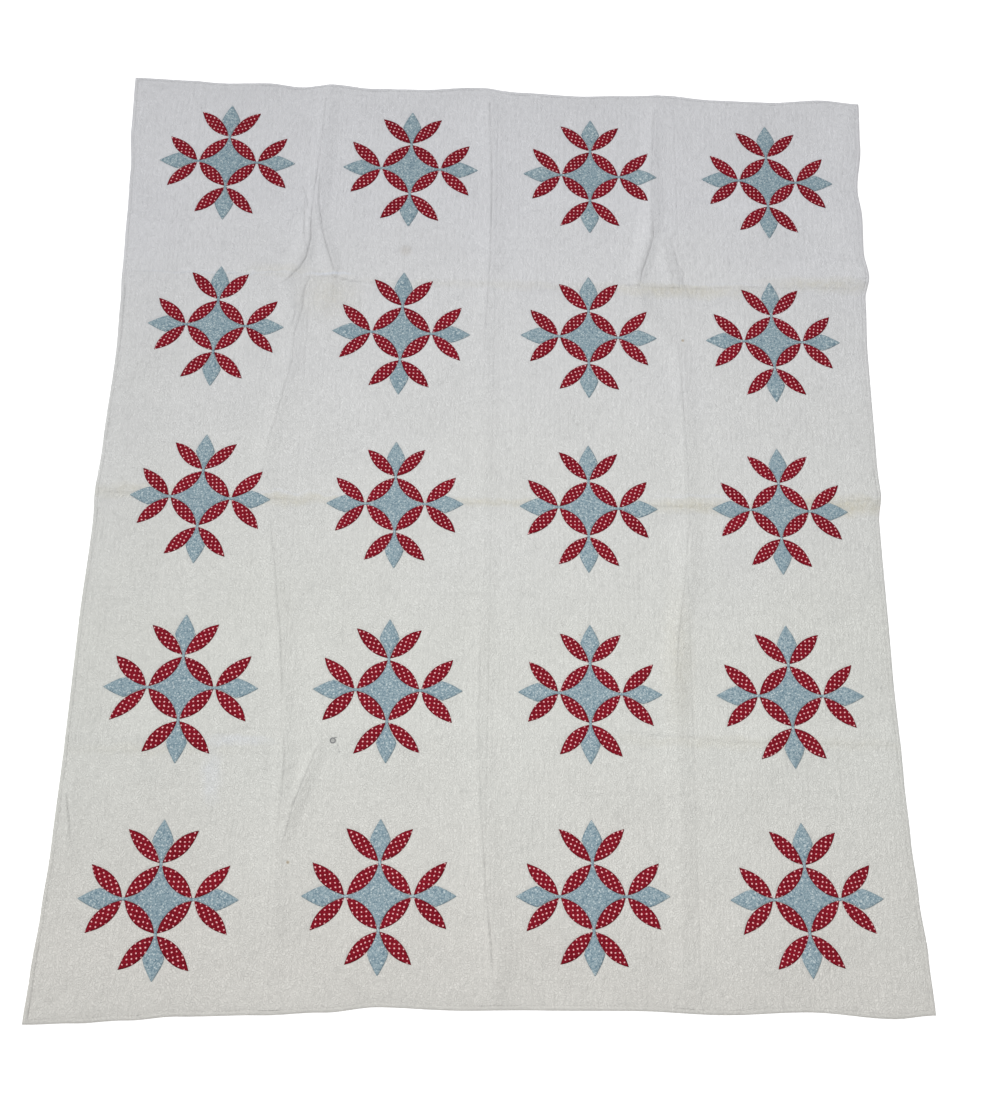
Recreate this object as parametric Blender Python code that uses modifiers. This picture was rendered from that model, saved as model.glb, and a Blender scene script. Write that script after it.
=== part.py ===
# Applique quilt, laid flat and face up.
# Metres, +Z up. The origin is on the floor under the middle of the quilt, and +Y points to its head.
# The tables below measure from near the middle of the blocks, a few millimetres from that origin.
# Twenty square blocks, four across and five down, each carry a flower: a blue star with four petals
# and a wreath of twelve red leaves. The cloth keeps the ridges of having been folded in quarters.

import math

import bmesh
import bpy
from mathutils import Matrix, Vector
from mathutils.bvhtree import BVHTree
from mathutils.geometry import delaunay_2d_cdt

# Blocks
BLOCK = 0.430
COLUMNS = 4
ROWS = 5
SETTING_X = -0.006
SETTING_Y = 0.000

# Layers
QUILT_THICK = 0.0040
PUFF_RISE = 0.0012
SEAM_SINK = 0.0012
WREATH_RISE = 0.0014
WREATH_RADIUS = 0.065
SEAM_REACH = 0.030
WREATH_REACH = 0.036
EDGE_FLAT = 0.030
CREASE_GAP = 0.0008

# Edge binding
BINDING_WIDTH = 0.011
BINDING_HEIGHT = 0.0052
BINDING_EASE = 0.0022
BINDING_DROP = 0.0014
PIECE_GAP = 0.0003

# Flower, measured from the middle of its block
JUNCTION_RADIUS = 0.068
OUTER_LEAF_LENGTH = 0.097
LEAF_WIDTH = 0.031
LEAF_STEPS = 4
TIP_ROUND = 0.0022
NECK_HALF = 0.0016
NECK_REACH = 0.004
SEAM_GAP = 0.0006
PETAL_TIP = 0.157
PATCH_THICK = 0.0008
BRIDGE_RISE = 0.0013
BRIDGE_REACH = 0.012

# Mesh spacing. A block's face has points at these counts of eighths, across plus along, from its middle.
QUILTED_STEPS = (0, 2, 4, 6, 7, 8)
GRID_NEAREST = 0.026
CREST_STEP = 0.060
NEAREST = 0.019
EDGE_STEP = 0.080
FLOOR_NEAR = 0.000001
MERGE_DISTANCE = 0.00001
CLEARANCE_STEPS = 16

# How far each flower was sewn from the even blocks, its turn in degrees and its size. The head row comes
# first.
FLOWER_COLUMNS = ("east", "north", "turn", "size")
FLOWER_PLACES = (
    ((-0.002, 0.012, 0.0, 1.03), (0.006, 0.007, 0.0, 1.03),
     (0.007, 0.001, -0.5, 1.02), (0.004, -0.001, -0.5, 1.01)),
    ((0.005, -0.002, -0.5, 0.99), (0.000, -0.009, -0.5, 1.01),
     (0.001, -0.007, 0.0, 1.00), (-0.003, -0.007, 0.5, 0.99)),
    ((0.005, -0.002, -1.0, 0.98), (0.002, -0.006, 1.0, 0.96),
     (-0.002, -0.005, 0.0, 0.97), (-0.008, 0.000, 0.0, 0.96)),
    ((0.000, -0.004, 0.5, 1.03), (0.003, 0.000, 0.5, 1.00),
     (-0.001, 0.002, 0.0, 0.97), (-0.007, 0.006, 1.0, 1.00)),
    ((-0.007, -0.012, 0.5, 1.02), (0.002, 0.002, 1.0, 0.99),
     (0.002, 0.009, 1.0, 0.99), (0.004, 0.011, 1.5, 0.99)),
)

# Each edge's wave: how far along the side, and how far out the cloth reaches there.
EDGE_COLUMNS = ("along", "out")
LEFT_EDGE = (
    (-1.116, -0.899), (-1.020, -0.895), (-0.900, -0.888), (-0.780, -0.883), (-0.540, -0.880),
    (-0.300, -0.880), (-0.060, -0.875), (0.000, -0.878), (0.120, -0.873), (0.360, -0.867),
    (0.480, -0.870), (0.560, -0.874), (0.720, -0.878), (0.840, -0.882), (0.960, -0.892), (1.110, -0.896),
)
RIGHT_EDGE = (
    (-1.070, 0.886), (-0.960, 0.881), (-0.840, 0.871), (-0.720, 0.864), (-0.600, 0.860),
    (-0.360, 0.854), (-0.020, 0.851), (0.045, 0.859), (0.120, 0.856), (0.400, 0.855), (0.540, 0.860),
    (0.607, 0.873), (0.670, 0.865), (0.770, 0.868), (0.840, 0.862), (0.970, 0.877), (1.094, 0.881),
)
HEAD_EDGE = (
    (-0.896, 1.110), (-0.760, 1.106), (-0.680, 1.101), (-0.570, 1.105), (-0.490, 1.096),
    (-0.410, 1.107), (-0.320, 1.098), (-0.200, 1.099), (-0.060, 1.110), (0.050, 1.099), (0.190, 1.093),
    (0.300, 1.098), (0.400, 1.103), (0.520, 1.093), (0.660, 1.091), (0.790, 1.102), (0.881, 1.094),
)
FOOT_EDGE = (
    (-0.899, -1.116), (-0.800, -1.112), (-0.700, -1.105), (-0.600, -1.096), (-0.440, -1.091),
    (-0.320, -1.084), (-0.210, -1.072), (-0.060, -1.076), (0.100, -1.073), (0.300, -1.071),
    (0.460, -1.076), (0.640, -1.068), (0.800, -1.078), (0.886, -1.070),
)

# Fold ridges, from head to foot or from left to right. A row is one place on the crest.
FOLD_COLUMNS = ("x", "y", "height", "half_width")
FOLDS = {
    "left_fold": (
        (-0.419, 1.100, 0.0020, 0.030), (-0.423, 1.004, 0.0050, 0.030), (-0.429, 0.843, 0.0055, 0.034),
        (-0.436, 0.722, 0.0065, 0.036), (-0.460, 0.621, 0.0075, 0.036), (-0.493, 0.546, 0.0070, 0.034),
        (-0.475, 0.470, 0.0040, 0.036), (-0.461, 0.400, 0.0040, 0.036), (-0.481, 0.279, 0.0055, 0.036),
        (-0.502, 0.158, 0.0050, 0.034), (-0.516, 0.058, 0.0035, 0.034), (-0.490, -0.043, 0.0030, 0.034),
        (-0.470, -0.183, 0.0035, 0.034), (-0.450, -0.324, 0.0040, 0.034), (-0.436, -0.464, 0.0040, 0.034),
        (-0.428, -0.565, 0.0065, 0.032), (-0.424, -0.665, 0.0065, 0.030), (-0.431, -0.755, 0.0035, 0.030),
        (-0.427, -0.925, 0.0030, 0.034), (-0.425, -1.083, 0.0015, 0.034),
    ),
    "left_branch": (
        (-0.419, 0.692, 0.0035, 0.028), (-0.404, 0.631, 0.0070, 0.030), (-0.387, 0.581, 0.0070, 0.030),
        (-0.396, 0.520, 0.0035, 0.028), (-0.414, 0.460, 0.0015, 0.028),
    ),
    "foot_pucker": (
        (-0.352, -0.544, 0.0030, 0.026), (-0.378, -0.614, 0.0065, 0.026), (-0.404, -0.685, 0.0065, 0.026),
        (-0.419, -0.755, 0.0030, 0.026),
    ),
    "middle_fold": (
        (-0.030, 1.103, 0.0020, 0.034), (-0.024, 0.900, 0.0035, 0.036), (-0.019, 0.639, 0.0040, 0.036),
        (-0.032, 0.399, 0.0030, 0.036), (-0.024, 0.149, 0.0030, 0.036), (-0.019, -0.101, 0.0030, 0.036),
        (-0.028, -0.401, 0.0035, 0.036), (-0.021, -0.640, 0.0035, 0.036), (0.005, -0.899, 0.0040, 0.040),
        (0.022, -0.969, 0.0070, 0.042), (0.014, -1.070, 0.0030, 0.038),
    ),
    "right_fold": (
        (0.379, 1.101, 0.0020, 0.032), (0.369, 0.997, 0.0040, 0.032), (0.359, 0.877, 0.0050, 0.034),
        (0.364, 0.777, 0.0070, 0.034), (0.350, 0.678, 0.0085, 0.034), (0.320, 0.588, 0.0065, 0.032),
        (0.341, 0.478, 0.0030, 0.032), (0.417, 0.398, 0.0040, 0.036), (0.426, 0.199, 0.0040, 0.036),
        (0.431, 0.000, 0.0035, 0.036), (0.419, -0.159, 0.0040, 0.036), (0.396, -0.288, 0.0055, 0.038),
        (0.388, -0.397, 0.0065, 0.042), (0.391, -0.556, 0.0040, 0.038), (0.393, -0.735, 0.0040, 0.038),
        (0.388, -0.933, 0.0030, 0.036), (0.386, -1.068, 0.0015, 0.034),
    ),
    "right_branch": (
        (0.386, 0.677, 0.0030, 0.028), (0.395, 0.618, 0.0055, 0.030), (0.413, 0.568, 0.0065, 0.030),
        (0.437, 0.538, 0.0030, 0.028),
    ),
    "upper_cross_fold": (
        (-0.871, 0.562, 0.0020, 0.040), (-0.678, 0.562, 0.0030, 0.040), (-0.505, 0.561, 0.0040, 0.038),
        (-0.303, 0.562, 0.0030, 0.040), (-0.021, 0.559, 0.0030, 0.040), (0.298, 0.558, 0.0035, 0.040),
        (0.516, 0.559, 0.0030, 0.040), (0.694, 0.575, 0.0030, 0.040), (0.865, 0.596, 0.0030, 0.036),
    ),
    "middle_cross_fold": (
        (-0.872, 0.020, 0.0030, 0.040), (-0.506, 0.003, 0.0030, 0.042), (-0.254, -0.002, 0.0020, 0.042),
        (-0.043, 0.001, 0.0030, 0.042), (0.395, 0.004, 0.0030, 0.042), (0.632, 0.017, 0.0020, 0.042),
        (0.854, 0.041, 0.0035, 0.038),
    ),
    "lower_cross_fold": (
        (-0.883, -0.539, 0.0020, 0.042), (-0.629, -0.540, 0.0020, 0.044), (-0.366, -0.540, 0.0030, 0.042),
        (-0.004, -0.526, 0.0015, 0.044), (0.275, -0.510, 0.0030, 0.042), (0.512, -0.525, 0.0030, 0.042),
        (0.860, -0.528, 0.0020, 0.042),
    ),
    "left_edge_crease": (
        (-0.861, -0.650, 0.0030, 0.024), (-0.847, -0.710, 0.0040, 0.026), (-0.841, -0.780, 0.0020, 0.024),
    ),
}

# Cloth colours: base colour and roughness.
MUSLIN = ("cotton_muslin", (0.66, 0.66, 0.65, 1.0), 0.92)
EDGE_CLOTH = ("binding_muslin", (0.62, 0.62, 0.61, 1.0), 0.92)
BLUE_CALICO = ("blue_calico", (0.30, 0.36, 0.42, 1.0), 0.90)
RED_CALICO = ("red_dotted_calico", (0.42, 0.03, 0.03, 1.0), 0.90)


def clear_scene():
    """Remove every object, so that the script can be run again."""
    for old in list(bpy.data.objects):
        bpy.data.objects.remove(old, do_unlink=True)


def make_material(cloth):
    """Return the plain material of one cloth."""
    name, colour, roughness = cloth
    material = bpy.data.materials.get(name) or bpy.data.materials.new(name)
    material.use_nodes = True
    shader = material.node_tree.nodes["Principled BSDF"]
    shader.inputs["Base Color"].default_value = colour
    shader.inputs["Roughness"].default_value = roughness
    shader.inputs["Metallic"].default_value = 0.0
    return material


def add_part(name, mesh, cloth, collection):
    """Put a finished mesh in the quilt's collection, in its own cloth."""
    part = bpy.data.objects.new(name, mesh)
    part.data.materials.append(make_material(cloth))
    collection.objects.link(part)
    return part


def smooth_step(value):
    """Rise softly from 0 to 1."""
    value = min(max(value, 0.0), 1.0)
    return value * value * (3.0 - 2.0 * value)


def edge_reach(table, along):
    """Read how far out one side lies, softly between the rows of its table."""
    for (start, out_a), (stop, out_b) in zip(table, table[1:]):
        if along <= stop:
            return out_a + (out_b - out_a) * smooth_step((along - start) / (stop - start))
    return table[-1][1]


def side_points(table, upright):
    """Walk one side in even steps, keeping the rows of its table."""
    points = []
    for (start, _), (stop, _) in zip(table, table[1:]):
        steps = max(1, round((stop - start) / EDGE_STEP))
        for step in range(steps):
            along = start + (stop - start) * step / steps
            points.append((along, edge_reach(table, along)))
    points.append(table[-1])
    if upright:
        points = [(out, along) for along, out in points]
    return [Vector(point) for point in points]


def inward(points, index, distance):
    """Move a point of an anticlockwise side inward, square to the side."""
    before = points[max(index - 1, 0)]
    after = points[min(index + 1, len(points) - 1)]
    run = (after - before).normalized()
    return points[index] + Vector((-run.y, run.x)) * distance


def quilt_sides():
    """Return the four sides anticlockwise from the lower left corner."""
    foot = side_points(FOOT_EDGE, upright=False)
    right = side_points(RIGHT_EDGE, upright=True)
    head = side_points(HEAD_EDGE, upright=False)[::-1]
    left = side_points(LEFT_EDGE, upright=True)[::-1]
    foot[0] = left[-1].copy()
    right[0] = foot[-1].copy()
    head[0] = right[-1].copy()
    left[0] = head[-1].copy()
    return {"foot": foot, "right": right, "head": head, "left": left}


def inner_corner(side, following, distance):
    """Find the point that lies the same distance inside two sides at their shared corner."""
    run_a = (side[-1] - side[-2]).normalized()
    run_b = (following[1] - following[0]).normalized()
    mitre = (run_b - run_a).normalized()
    spread = abs(run_a.cross(mitre))
    return side[-1] + mitre * distance / spread


def inset_side(sides, name, distance):
    """Return one side moved inward, with both ends on their mitres."""
    order = list(sides)
    place = order.index(name)
    before = sides[order[place - 1]]
    after = sides[order[(place + 1) % len(order)]]
    side = sides[name]
    moved = [inward(side, index, distance) for index in range(len(side))]
    moved[0] = inner_corner(before, side, distance)
    moved[-1] = inner_corner(side, after, distance)
    return moved


def nearest_on_fold(rows, x, y):
    """Find how far a place is from a fold's crest, and the fold's size there."""
    best = (9.0, 0.0, 1.0)
    for row_a, row_b in zip(rows, rows[1:]):
        start = Vector(row_a[:2])
        run = Vector(row_b[:2]) - start
        part = (Vector((x, y)) - start).dot(run) / run.length_squared
        part = min(max(part, 0.0), 1.0)
        away = (start + run * part - Vector((x, y))).length
        if away < best[0]:
            height = row_a[2] + (row_b[2] - row_a[2]) * part
            half_width = row_a[3] + (row_b[3] - row_a[3]) * part
            best = (away, height, half_width)
    return best


def ridge_height(x, y):
    """Add up the ridges that lift the cloth at a place, the highest one leading."""
    lifts = []
    for rows in FOLDS.values():
        away, height, half_width = nearest_on_fold(rows, x, y)
        if away < half_width:
            fall = 1.0 - away / half_width
            lifts.append(height * (0.45 * fall + 0.55 * smooth_step(fall)))
    lifts.sort(reverse=True)
    return sum(lift * share for lift, share in zip(lifts, (1.0, 0.35, 0.2)))


def flower_centre(column, row):
    """Return where a flower was sewn near the middle of its block, with rows counted from the head."""
    east, north = FLOWER_PLACES[row][column][:2]
    x = SETTING_X + (column - (COLUMNS - 1) / 2) * BLOCK + east
    y = SETTING_Y + ((ROWS - 1) / 2 - row) * BLOCK + north
    return x, y


def quilting_height(x, y):
    """Raise the squares set on point, and the feather rings between them."""
    across = (x - SETTING_X) / BLOCK + COLUMNS / 2
    along = (y - SETTING_Y) / BLOCK + ROWS / 2
    from_x = (across - math.floor(across) - 0.5) * BLOCK
    from_y = (along - math.floor(along) - 0.5) * BLOCK
    past_seam = (abs(from_x) + abs(from_y) - BLOCK / 2) / math.sqrt(2)
    sink = SEAM_SINK * (1.0 - smooth_step(abs(past_seam) / SEAM_REACH))
    if past_seam < 0:
        return PUFF_RISE * smooth_step(-past_seam / SEAM_REACH) - sink
    corner_x = BLOCK / 2 - abs(from_x)
    corner_y = BLOCK / 2 - abs(from_y)
    from_ring = abs(math.hypot(corner_x, corner_y) - WREATH_RADIUS)
    return WREATH_RISE * (1.0 - smooth_step(from_ring / WREATH_REACH)) - sink


def top_height(x, y, rim):
    """Return the height of the face of the quilt; rim is 0 at its edge and 1 inside."""
    return QUILT_THICK + ridge_height(x, y) + quilting_height(x, y) * rim


def under_height(x, y):
    """Return the height of the underside, flat on the floor except below a ridge."""
    return max(0.0, ridge_height(x, y) - CREASE_GAP)


class Spread:
    """Points on the quilt, none closer together than a given gap."""

    def __init__(self):
        self.points = []

    def add(self, x, y, gap):
        """Keep a place if nothing kept so far is too near."""
        for kept in self.points:
            if abs(kept[0] - x) < gap and abs(kept[1] - y) < gap:
                if math.hypot(kept[0] - x, kept[1] - y) < gap:
                    return
        self.points.append((x, y))


def fold_crest(rows):
    """Walk along a crest in short steps, giving place, direction and half width."""
    for row_a, row_b in zip(rows, rows[1:]):
        start, stop = Vector(row_a[:2]), Vector(row_b[:2])
        steps = max(1, round((stop - start).length / CREST_STEP))
        run = (stop - start).normalized()
        for step in range(steps):
            part = step / steps
            yield start.lerp(stop, part), run, row_a[3] + (row_b[3] - row_a[3]) * part


def face_points(outline):
    """Choose the places whose heights shape the face of the quilt."""
    spread = Spread()
    for point in outline:
        spread.add(point.x, point.y, 0.001)
    for rows in FOLDS.values():
        for place, _, _ in fold_crest(rows):
            spread.add(place.x, place.y, NEAREST)
    for name, rows in FOLDS.items():
        sides = (-1.0, 1.0) if "cross" in name else (-0.5, 0.5, -1.0, 1.0)
        for place, run, half_width in fold_crest(rows):
            for side in sides:
                foot = place + Vector((-run.y, run.x)) * half_width * side
                spread.add(foot.x, foot.y, NEAREST)
    step = BLOCK / 8
    for column in range(-COLUMNS * 4 - 1, COLUMNS * 4 + 2):
        for row in range(-ROWS * 4 - 1, ROWS * 4 + 2):
            off_centre = abs((column + COLUMNS * 4) % 8 - 4) + abs((row + ROWS * 4) % 8 - 4)
            if off_centre in QUILTED_STEPS:
                spread.add(SETTING_X + column * step, SETTING_Y + row * step, GRID_NEAREST)
    return spread.points


def inside(outline, x, y, margin):
    """Tell whether a place lies inside the outline by a margin."""
    crossings = False
    for start, stop in zip(outline, outline[1:] + outline[:1]):
        if (start.y > y) != (stop.y > y):
            at = start.x + (y - start.y) / (stop.y - start.y) * (stop.x - start.x)
            if x < at:
                crossings = not crossings
        run = stop - start
        part = (Vector((x, y)) - start).dot(run) / run.length_squared
        part = min(max(part, 0.0), 1.0)
        if (start + run * part - Vector((x, y))).length < margin:
            return False
    return crossings


def thick_sheet(name, rims, inner_places, thickness):
    """Cut a flat sheet along its rims, holes included, and thicken it evenly upward."""
    places = []
    edges = []
    for rim in rims:
        first = len(places)
        edges += [(first + index, first + (index + 1) % len(rim)) for index in range(len(rim))]
        places += [Vector(point) for point in rim]
    places += [Vector(point) for point in inner_places]
    cut = delaunay_2d_cdt(places, edges, [], 1, MERGE_DISTANCE)
    holes = [[Vector(point) for point in rim] for rim in rims[1:]]
    kept = []
    for face in cut[2]:
        middle = sum((cut[0][index] for index in face), Vector((0.0, 0.0))) / len(face)
        if not any(inside(hole, middle.x, middle.y, 0.0) for hole in holes):
            kept.append(face)
    flat = bpy.data.meshes.new(name + "_flat")
    flat.from_pydata([(point.x, point.y, 0.0) for point in cut[0]], [], kept)
    sheet = bpy.data.objects.new(name + "_flat", flat)
    bpy.context.scene.collection.objects.link(sheet)
    thicken = sheet.modifiers.new("thicken", "SOLIDIFY")
    thicken.thickness = thickness
    thicken.offset = 1.0
    solid = bpy.data.meshes.new_from_object(sheet.evaluated_get(bpy.context.evaluated_depsgraph_get()))
    solid.name = name
    bpy.data.objects.remove(sheet, do_unlink=True)
    bpy.data.meshes.remove(flat)
    return solid


def merge_flat_underside(mesh):
    """Join the faces that lie flat on the floor into a few large ones."""
    joined = bmesh.new()
    joined.from_mesh(mesh)
    flat_faces = [face for face in joined.faces if max(vertex.co.z for vertex in face.verts) < FLOOR_NEAR]
    flat_edges = {edge for face in flat_faces for edge in face.edges}
    flat_verts = {vertex for face in flat_faces for vertex in face.verts}
    bmesh.ops.dissolve_limit(joined, angle_limit=0.001, use_dissolve_boundaries=False,
                             verts=list(flat_verts), edges=list(flat_edges))
    bmesh.ops.triangulate(joined, faces=joined.faces, ngon_method="BEAUTY")
    joined.to_mesh(mesh)
    joined.free()


def build_body(sides, collection):
    """Make the quilted body: a flat cut sheet, thickened, with its points raised and lowered."""
    outline = []
    for name in sides:
        outline.extend(inset_side(sides, name, BINDING_WIDTH + PIECE_GAP)[:-1])
    chosen = face_points(outline)[len(outline):]
    within = [point for point in chosen if inside(outline, *point, NEAREST)]
    mesh = thick_sheet("quilt_body", [outline], within, QUILT_THICK)
    for vertex in mesh.vertices:
        x, y, z = vertex.co
        if z > QUILT_THICK / 2:
            near = min((Vector((x, y)) - point).length for point in outline)
            vertex.co.z = top_height(x, y, smooth_step(near / EDGE_FLAT))
        else:
            vertex.co.z = under_height(x, y)
    merge_flat_underside(mesh)
    return add_part("quilt_body", mesh, MUSLIN, collection)


def binding_section(z_under, z_top):
    """Return a strip's rounded section as (how far inside the edge, height)."""
    rise = z_top - z_under
    return (
        (BINDING_EASE / 2, z_under), (0.0, z_under + 0.40 * rise), (BINDING_EASE, z_top),
        (BINDING_WIDTH - BINDING_EASE, z_top), (BINDING_WIDTH, z_top - BINDING_DROP),
        (BINDING_WIDTH, z_under),
    )


def build_binding(sides, name, collection):
    """Sweep the rounded section of one binding strip along its side, mitred at both ends."""
    rings = []
    count = len(sides[name])
    depths = [depth for depth, _ in binding_section(0.0, 1.0)]
    lanes = [inset_side(sides, name, depth) for depth in depths]
    for index in range(count):
        outer = sides[name][index]
        ridge = under_height(outer.x, outer.y)
        section = binding_section(ridge, ridge + BINDING_HEIGHT)
        rings.append([(lane[index].x, lane[index].y, z) for lane, (_, z) in zip(lanes, section)])
    trim = (Vector(rings[1][0]) - Vector(rings[0][0])).normalized() * PIECE_GAP
    rings[0] = [tuple(Vector(point) + Vector((trim.x, trim.y, 0.0))) for point in rings[0]]
    trim = (Vector(rings[-2][0]) - Vector(rings[-1][0])).normalized() * PIECE_GAP
    rings[-1] = [tuple(Vector(point) + Vector((trim.x, trim.y, 0.0))) for point in rings[-1]]

    strip = bmesh.new()
    rows = [[strip.verts.new(point) for point in ring] for ring in rings]
    lanes_round = len(depths)
    for row_a, row_b in zip(rows, rows[1:]):
        for lane in range(lanes_round):
            follow = (lane + 1) % lanes_round
            strip.faces.new((row_a[lane], row_a[follow], row_b[follow], row_b[lane]))
    strip.faces.new(rows[0][::-1])
    strip.faces.new(rows[-1])
    bmesh.ops.recalc_face_normals(strip, faces=strip.faces)
    mesh = bpy.data.meshes.new("binding_" + name)
    strip.to_mesh(mesh)
    strip.free()
    return add_part("binding_" + name, mesh, EDGE_CLOTH, collection)


def turned(points, quarter_turns):
    """Turn plan points about the flower's middle by quarter turns."""
    for _ in range(quarter_turns):
        points = [(-y, x) for x, y in points]
    return points


def leaf_side(start, stop, bulge, steps):
    """Return the points of one arched side of a leaf, without its ends."""
    start, stop = Vector(start), Vector(stop)
    run = stop - start
    square = Vector((-run.y, run.x)).normalized()
    points = []
    for step in range(1, steps):
        part = step / steps
        arch = 4.0 * part * (1.0 - part) * bulge
        place = start + run * part + square * arch
        points.append((place.x, place.y))
    return points


def leaves_outline():
    """Draw the leaf wreath as one closed line: a quarter holds an inner and two outer leaves."""
    bulge = LEAF_WIDTH / 2
    reach = OUTER_LEAF_LENGTH / math.sqrt(2)
    tip = TIP_ROUND
    right = (JUNCTION_RADIUS, 0.0)
    top = (0.0, JUNCTION_RADIUS)
    low_tip = (JUNCTION_RADIUS + reach, reach)
    high_tip = (reach, JUNCTION_RADIUS + reach)
    outer = []
    inner = []
    for turn in range(4):
        quarter = [(right[0] + tip, tip * 0.6)]
        quarter += leaf_side(right, low_tip, -bulge, LEAF_STEPS)
        quarter += [low_tip]
        quarter += leaf_side(low_tip, right, -bulge, LEAF_STEPS)
        quarter += [(right[0] + tip * 0.2, tip * 1.7)]
        quarter += leaf_side(right, top, -bulge, LEAF_STEPS)
        quarter += [(tip * 1.7, top[1] + tip * 0.2)]
        quarter += leaf_side(top, high_tip, -bulge, LEAF_STEPS)
        quarter += [high_tip]
        quarter += leaf_side(high_tip, top, -bulge, LEAF_STEPS)
        quarter += [(tip * 0.6, top[1] + tip)]
        outer += turned(quarter, turn)
        hollow = [(right[0] - tip, tip * 0.6)]
        hollow += leaf_side(right, top, bulge, LEAF_STEPS)
        hollow += [(tip * 0.6, top[1] - tip)]
        inner += turned(hollow, turn)
    return outer, inner


def star_outline():
    """Draw the star and its petals as one closed line, beside the leaves' edges."""
    bulge = LEAF_WIDTH / 2 + SEAM_GAP
    reach = OUTER_LEAF_LENGTH / math.sqrt(2)
    right = (JUNCTION_RADIUS, 0.0)
    top = (0.0, JUNCTION_RADIUS)
    low_tip = (JUNCTION_RADIUS + reach, reach)
    neck = [(JUNCTION_RADIUS - NECK_REACH, NECK_HALF), (JUNCTION_RADIUS + NECK_REACH, NECK_HALF)]
    side = leaf_side(right, low_tip, -bulge, LEAF_STEPS)
    shoulder = (Vector(side[0]) + Vector(side[1])) / 2
    upper = neck + [side[0], tuple(shoulder)]
    lower = [(x, -y) for x, y in upper]
    star = []
    for turn in range(4):
        quarter = lower + [(PETAL_TIP, 0.0)] + upper[::-1]
        quarter += leaf_side(right, top, bulge, LEAF_STEPS)
        star += turned(quarter, turn)
    return star


def lay_on(mesh, face, gap_at):
    """Lay a flat patch on the quilt: each point goes to the face below it, plus its gap."""
    down = Vector((0.0, 0.0, -1.0))
    for vertex in mesh.vertices:
        under = vertex.co.z < PATCH_THICK / 2
        hit = face.ray_cast(Vector((vertex.co.x, vertex.co.y, 1.0)), down)[0]
        vertex.co.z = hit.z + gap_at(vertex.co) + (0.0 if under else PATCH_THICK)


def clearance(mesh, face):
    """Measure the least height of a patch's underside over the quilt, along its edges and faces."""
    down = Vector((0.0, 0.0, -1.0))
    least = 1.0
    for polygon in mesh.polygons:
        corners = [mesh.vertices[index].co for index in polygon.vertices]
        if polygon.normal.z > -0.5:
            continue
        for part_a in range(CLEARANCE_STEPS + 1):
            for part_b in range(CLEARANCE_STEPS + 1 - part_a):
                part_c = CLEARANCE_STEPS - part_a - part_b
                place = corners[0] * part_a + corners[1] * part_b + corners[2] * part_c
                place = place / CLEARANCE_STEPS
                hit = face.ray_cast(Vector((place.x, place.y, 1.0)), down)[0]
                least = min(least, place.z - hit.z)
    return least


def build_flower(column, row, face, collection):
    """Sew one flower on its block: the blue star first, then the red leaves over its necks."""
    centre = flower_centre(column, row)
    label = f"r{row + 1}_c{column + 1}"
    outer, hollow = leaves_outline()
    star = thick_sheet("star_" + label, [star_outline()], [(0.0, 0.0)], PATCH_THICK)
    leaves = thick_sheet("leaves_" + label, [outer, hollow], [], PATCH_THICK)
    turn_degrees, size = FLOWER_PLACES[row][column][2:]
    turn = Matrix.Rotation(math.radians(turn_degrees), 4, "Z")
    grown = Matrix.Diagonal((size, size, 1.0, 1.0))
    moved = Matrix.Translation((centre[0], centre[1], 0.0))
    for mesh in (star, leaves):
        mesh.transform(moved @ turn @ grown)

    def star_gap(_place):
        return PIECE_GAP

    def leaf_gap(place):
        x, y = abs(place.x - centre[0]), abs(place.y - centre[1])
        from_neck = math.hypot(max(x, y) - JUNCTION_RADIUS, min(x, y))
        return PIECE_GAP + (BRIDGE_RISE if from_neck < BRIDGE_REACH else 0.0)

    for mesh, gap in ((star, star_gap), (leaves, leaf_gap)):
        lay_on(mesh, face, gap)
    lift = PIECE_GAP - min(clearance(star, face), clearance(leaves, face))
    for mesh, cloth in ((star, BLUE_CALICO), (leaves, RED_CALICO)):
        for vertex in mesh.vertices:
            vertex.co.z += max(0.0, lift)
        add_part(mesh.name, mesh, cloth, collection)


def centre_on_floor(collection, sides):
    """Move every piece so that the origin lies under the middle of the quilt's outline."""
    outline = [point for side in sides.values() for point in side]
    middle_x = (min(point.x for point in outline) + max(point.x for point in outline)) / 2
    middle_y = (min(point.y for point in outline) + max(point.y for point in outline)) / 2
    for part in collection.objects:
        part.data.transform(Matrix.Translation((-middle_x, -middle_y, 0.0)))


def build_quilt():
    """Build the body, its binding and the twenty flowers."""
    clear_scene()
    collection = bpy.data.collections.new("applique_quilt")
    bpy.context.scene.collection.children.link(collection)
    sides = quilt_sides()
    body = build_body(sides, collection)
    for name in sides:
        build_binding(sides, name, collection)
    corners = [vertex.co for vertex in body.data.vertices]
    face = BVHTree.FromPolygons(corners, [polygon.vertices for polygon in body.data.polygons])
    for row in range(ROWS):
        for column in range(COLUMNS):
            build_flower(column, row, face, collection)
    centre_on_floor(collection, sides)


build_quilt()
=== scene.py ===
# %% [markdown]
# # An applique quilt, laid flat
# This lesson dresses the solids of an old cotton quilt: pale blocks, blue stars, dotted red leaves,
# hand quilting and a narrow edge binding. The solids are loaded first and never change. They could be
# rebuilt here, but keeping them as a fixed frame means that every cloth lands where its solid lies.

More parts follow.
